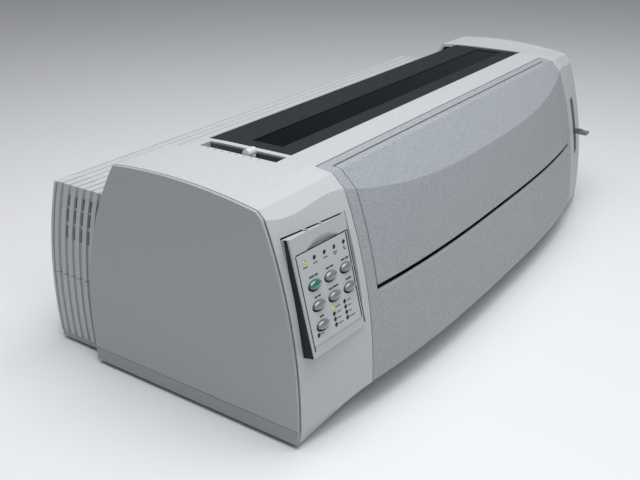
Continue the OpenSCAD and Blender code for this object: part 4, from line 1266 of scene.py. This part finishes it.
class PRINTER_OT_stage(Operator):
    """Floor, soft lights, even surroundings and the camera"""
    bl_idname = "printer.stage"
    bl_label = "Stage"

    def execute(self, context):
        s = settings("printer_stage")
        scene = context.scene
        floor = primitive("floor", bpy.ops.mesh.primitive_plane_add, size=s.floor_size)
        floor.data.materials.append(finish("floor"))
        area_light("top_light", (-0.15, -0.15, 1.4), (-0.05, 0.0, 0.15), (1.5, 0.9), s.key_power)
        area_light("front_light", (-0.55, -0.85, 1.0), (-0.2, -0.1, 0.12), (0.7, 0.5), s.fill_power)
        world = bpy.data.worlds.new("surroundings")
        world.use_nodes = True
        background = world.node_tree.nodes["Background"]
        background.inputs["Color"].default_value = (0.93, 0.96, 1.0, 1)
        background.inputs["Strength"].default_value = s.air
        scene.world = world
        camera = bpy.data.objects.new("camera", bpy.data.cameras.new("camera"))
        scene.collection.objects.link(camera)
        camera.data.sensor_width = 36
        camera.data.lens = s.lens
        camera.data.clip_start = 0.01
        camera.data.clip_end = 100
        camera.location = CAMERA_AT
        camera.rotation_euler = (math.pi / 2 - CAMERA_PITCH, 0, -CAMERA_YAW)
        scene.camera = camera
        scene.view_settings.view_transform = "Standard"
        return {"FINISHED"}


class PRINTER_PT_sidebar(Panel):
    """Lists the printer's pieces and settings"""
    bl_label = "Wide-Carriage Printer"
    bl_idname = "PRINTER_PT_sidebar"
    bl_space_type = "VIEW_3D"
    bl_region_type = "UI"
    bl_category = "Printer"

    def draw(self, context):
        layout = self.layout
        for name, label in GROUPS:
            part = layout.box()
            part.label(text=label)
            group = getattr(context.scene, name)
            for key in group.__annotations__:
                part.prop(group, key)
        for operator in PIECES:
            layout.operator(operator.bl_idname)


GROUPS = (("printer_casing", "Casing"), ("printer_cover", "Cover and Rear"), ("printer_controls", "Controls"),
          ("printer_stage", "Stage"))
PIECES = (PRINTER_OT_stage, PRINTER_OT_housing, PRINTER_OT_slot_lining, PRINTER_OT_side_panels,
          PRINTER_OT_front_frame, PRINTER_OT_front_door, PRINTER_OT_access_cover, PRINTER_OT_rear_shells,
          PRINTER_OT_base, PRINTER_OT_operator_panel, PRINTER_OT_buttons, PRINTER_OT_lamps, PRINTER_OT_levers,
          PRINTER_OT_mechanism)
CLASSES = (CasingSettings, CoverSettings, ControlSettings, StageSettings) + PIECES + (PRINTER_PT_sidebar,)


def register():
    for c in CLASSES:
        bpy.utils.register_class(c)
    scene = bpy.types.Scene
    scene.printer_casing = PointerProperty(type=CasingSettings)
    scene.printer_cover = PointerProperty(type=CoverSettings)
    scene.printer_controls = PointerProperty(type=ControlSettings)
    scene.printer_stage = PointerProperty(type=StageSettings)


def unregister():
    for name, _ in GROUPS:
        delattr(bpy.types.Scene, name)
    for c in reversed(CLASSES):
        bpy.utils.unregister_class(c)


def main():
    """Builds every piece in order."""
    register()
    deselect()
    for operator in PIECES:
        group, name = operator.bl_idname.split(".")
        getattr(getattr(bpy.ops, group), name)()


if __name__ == "__main__":
    main()
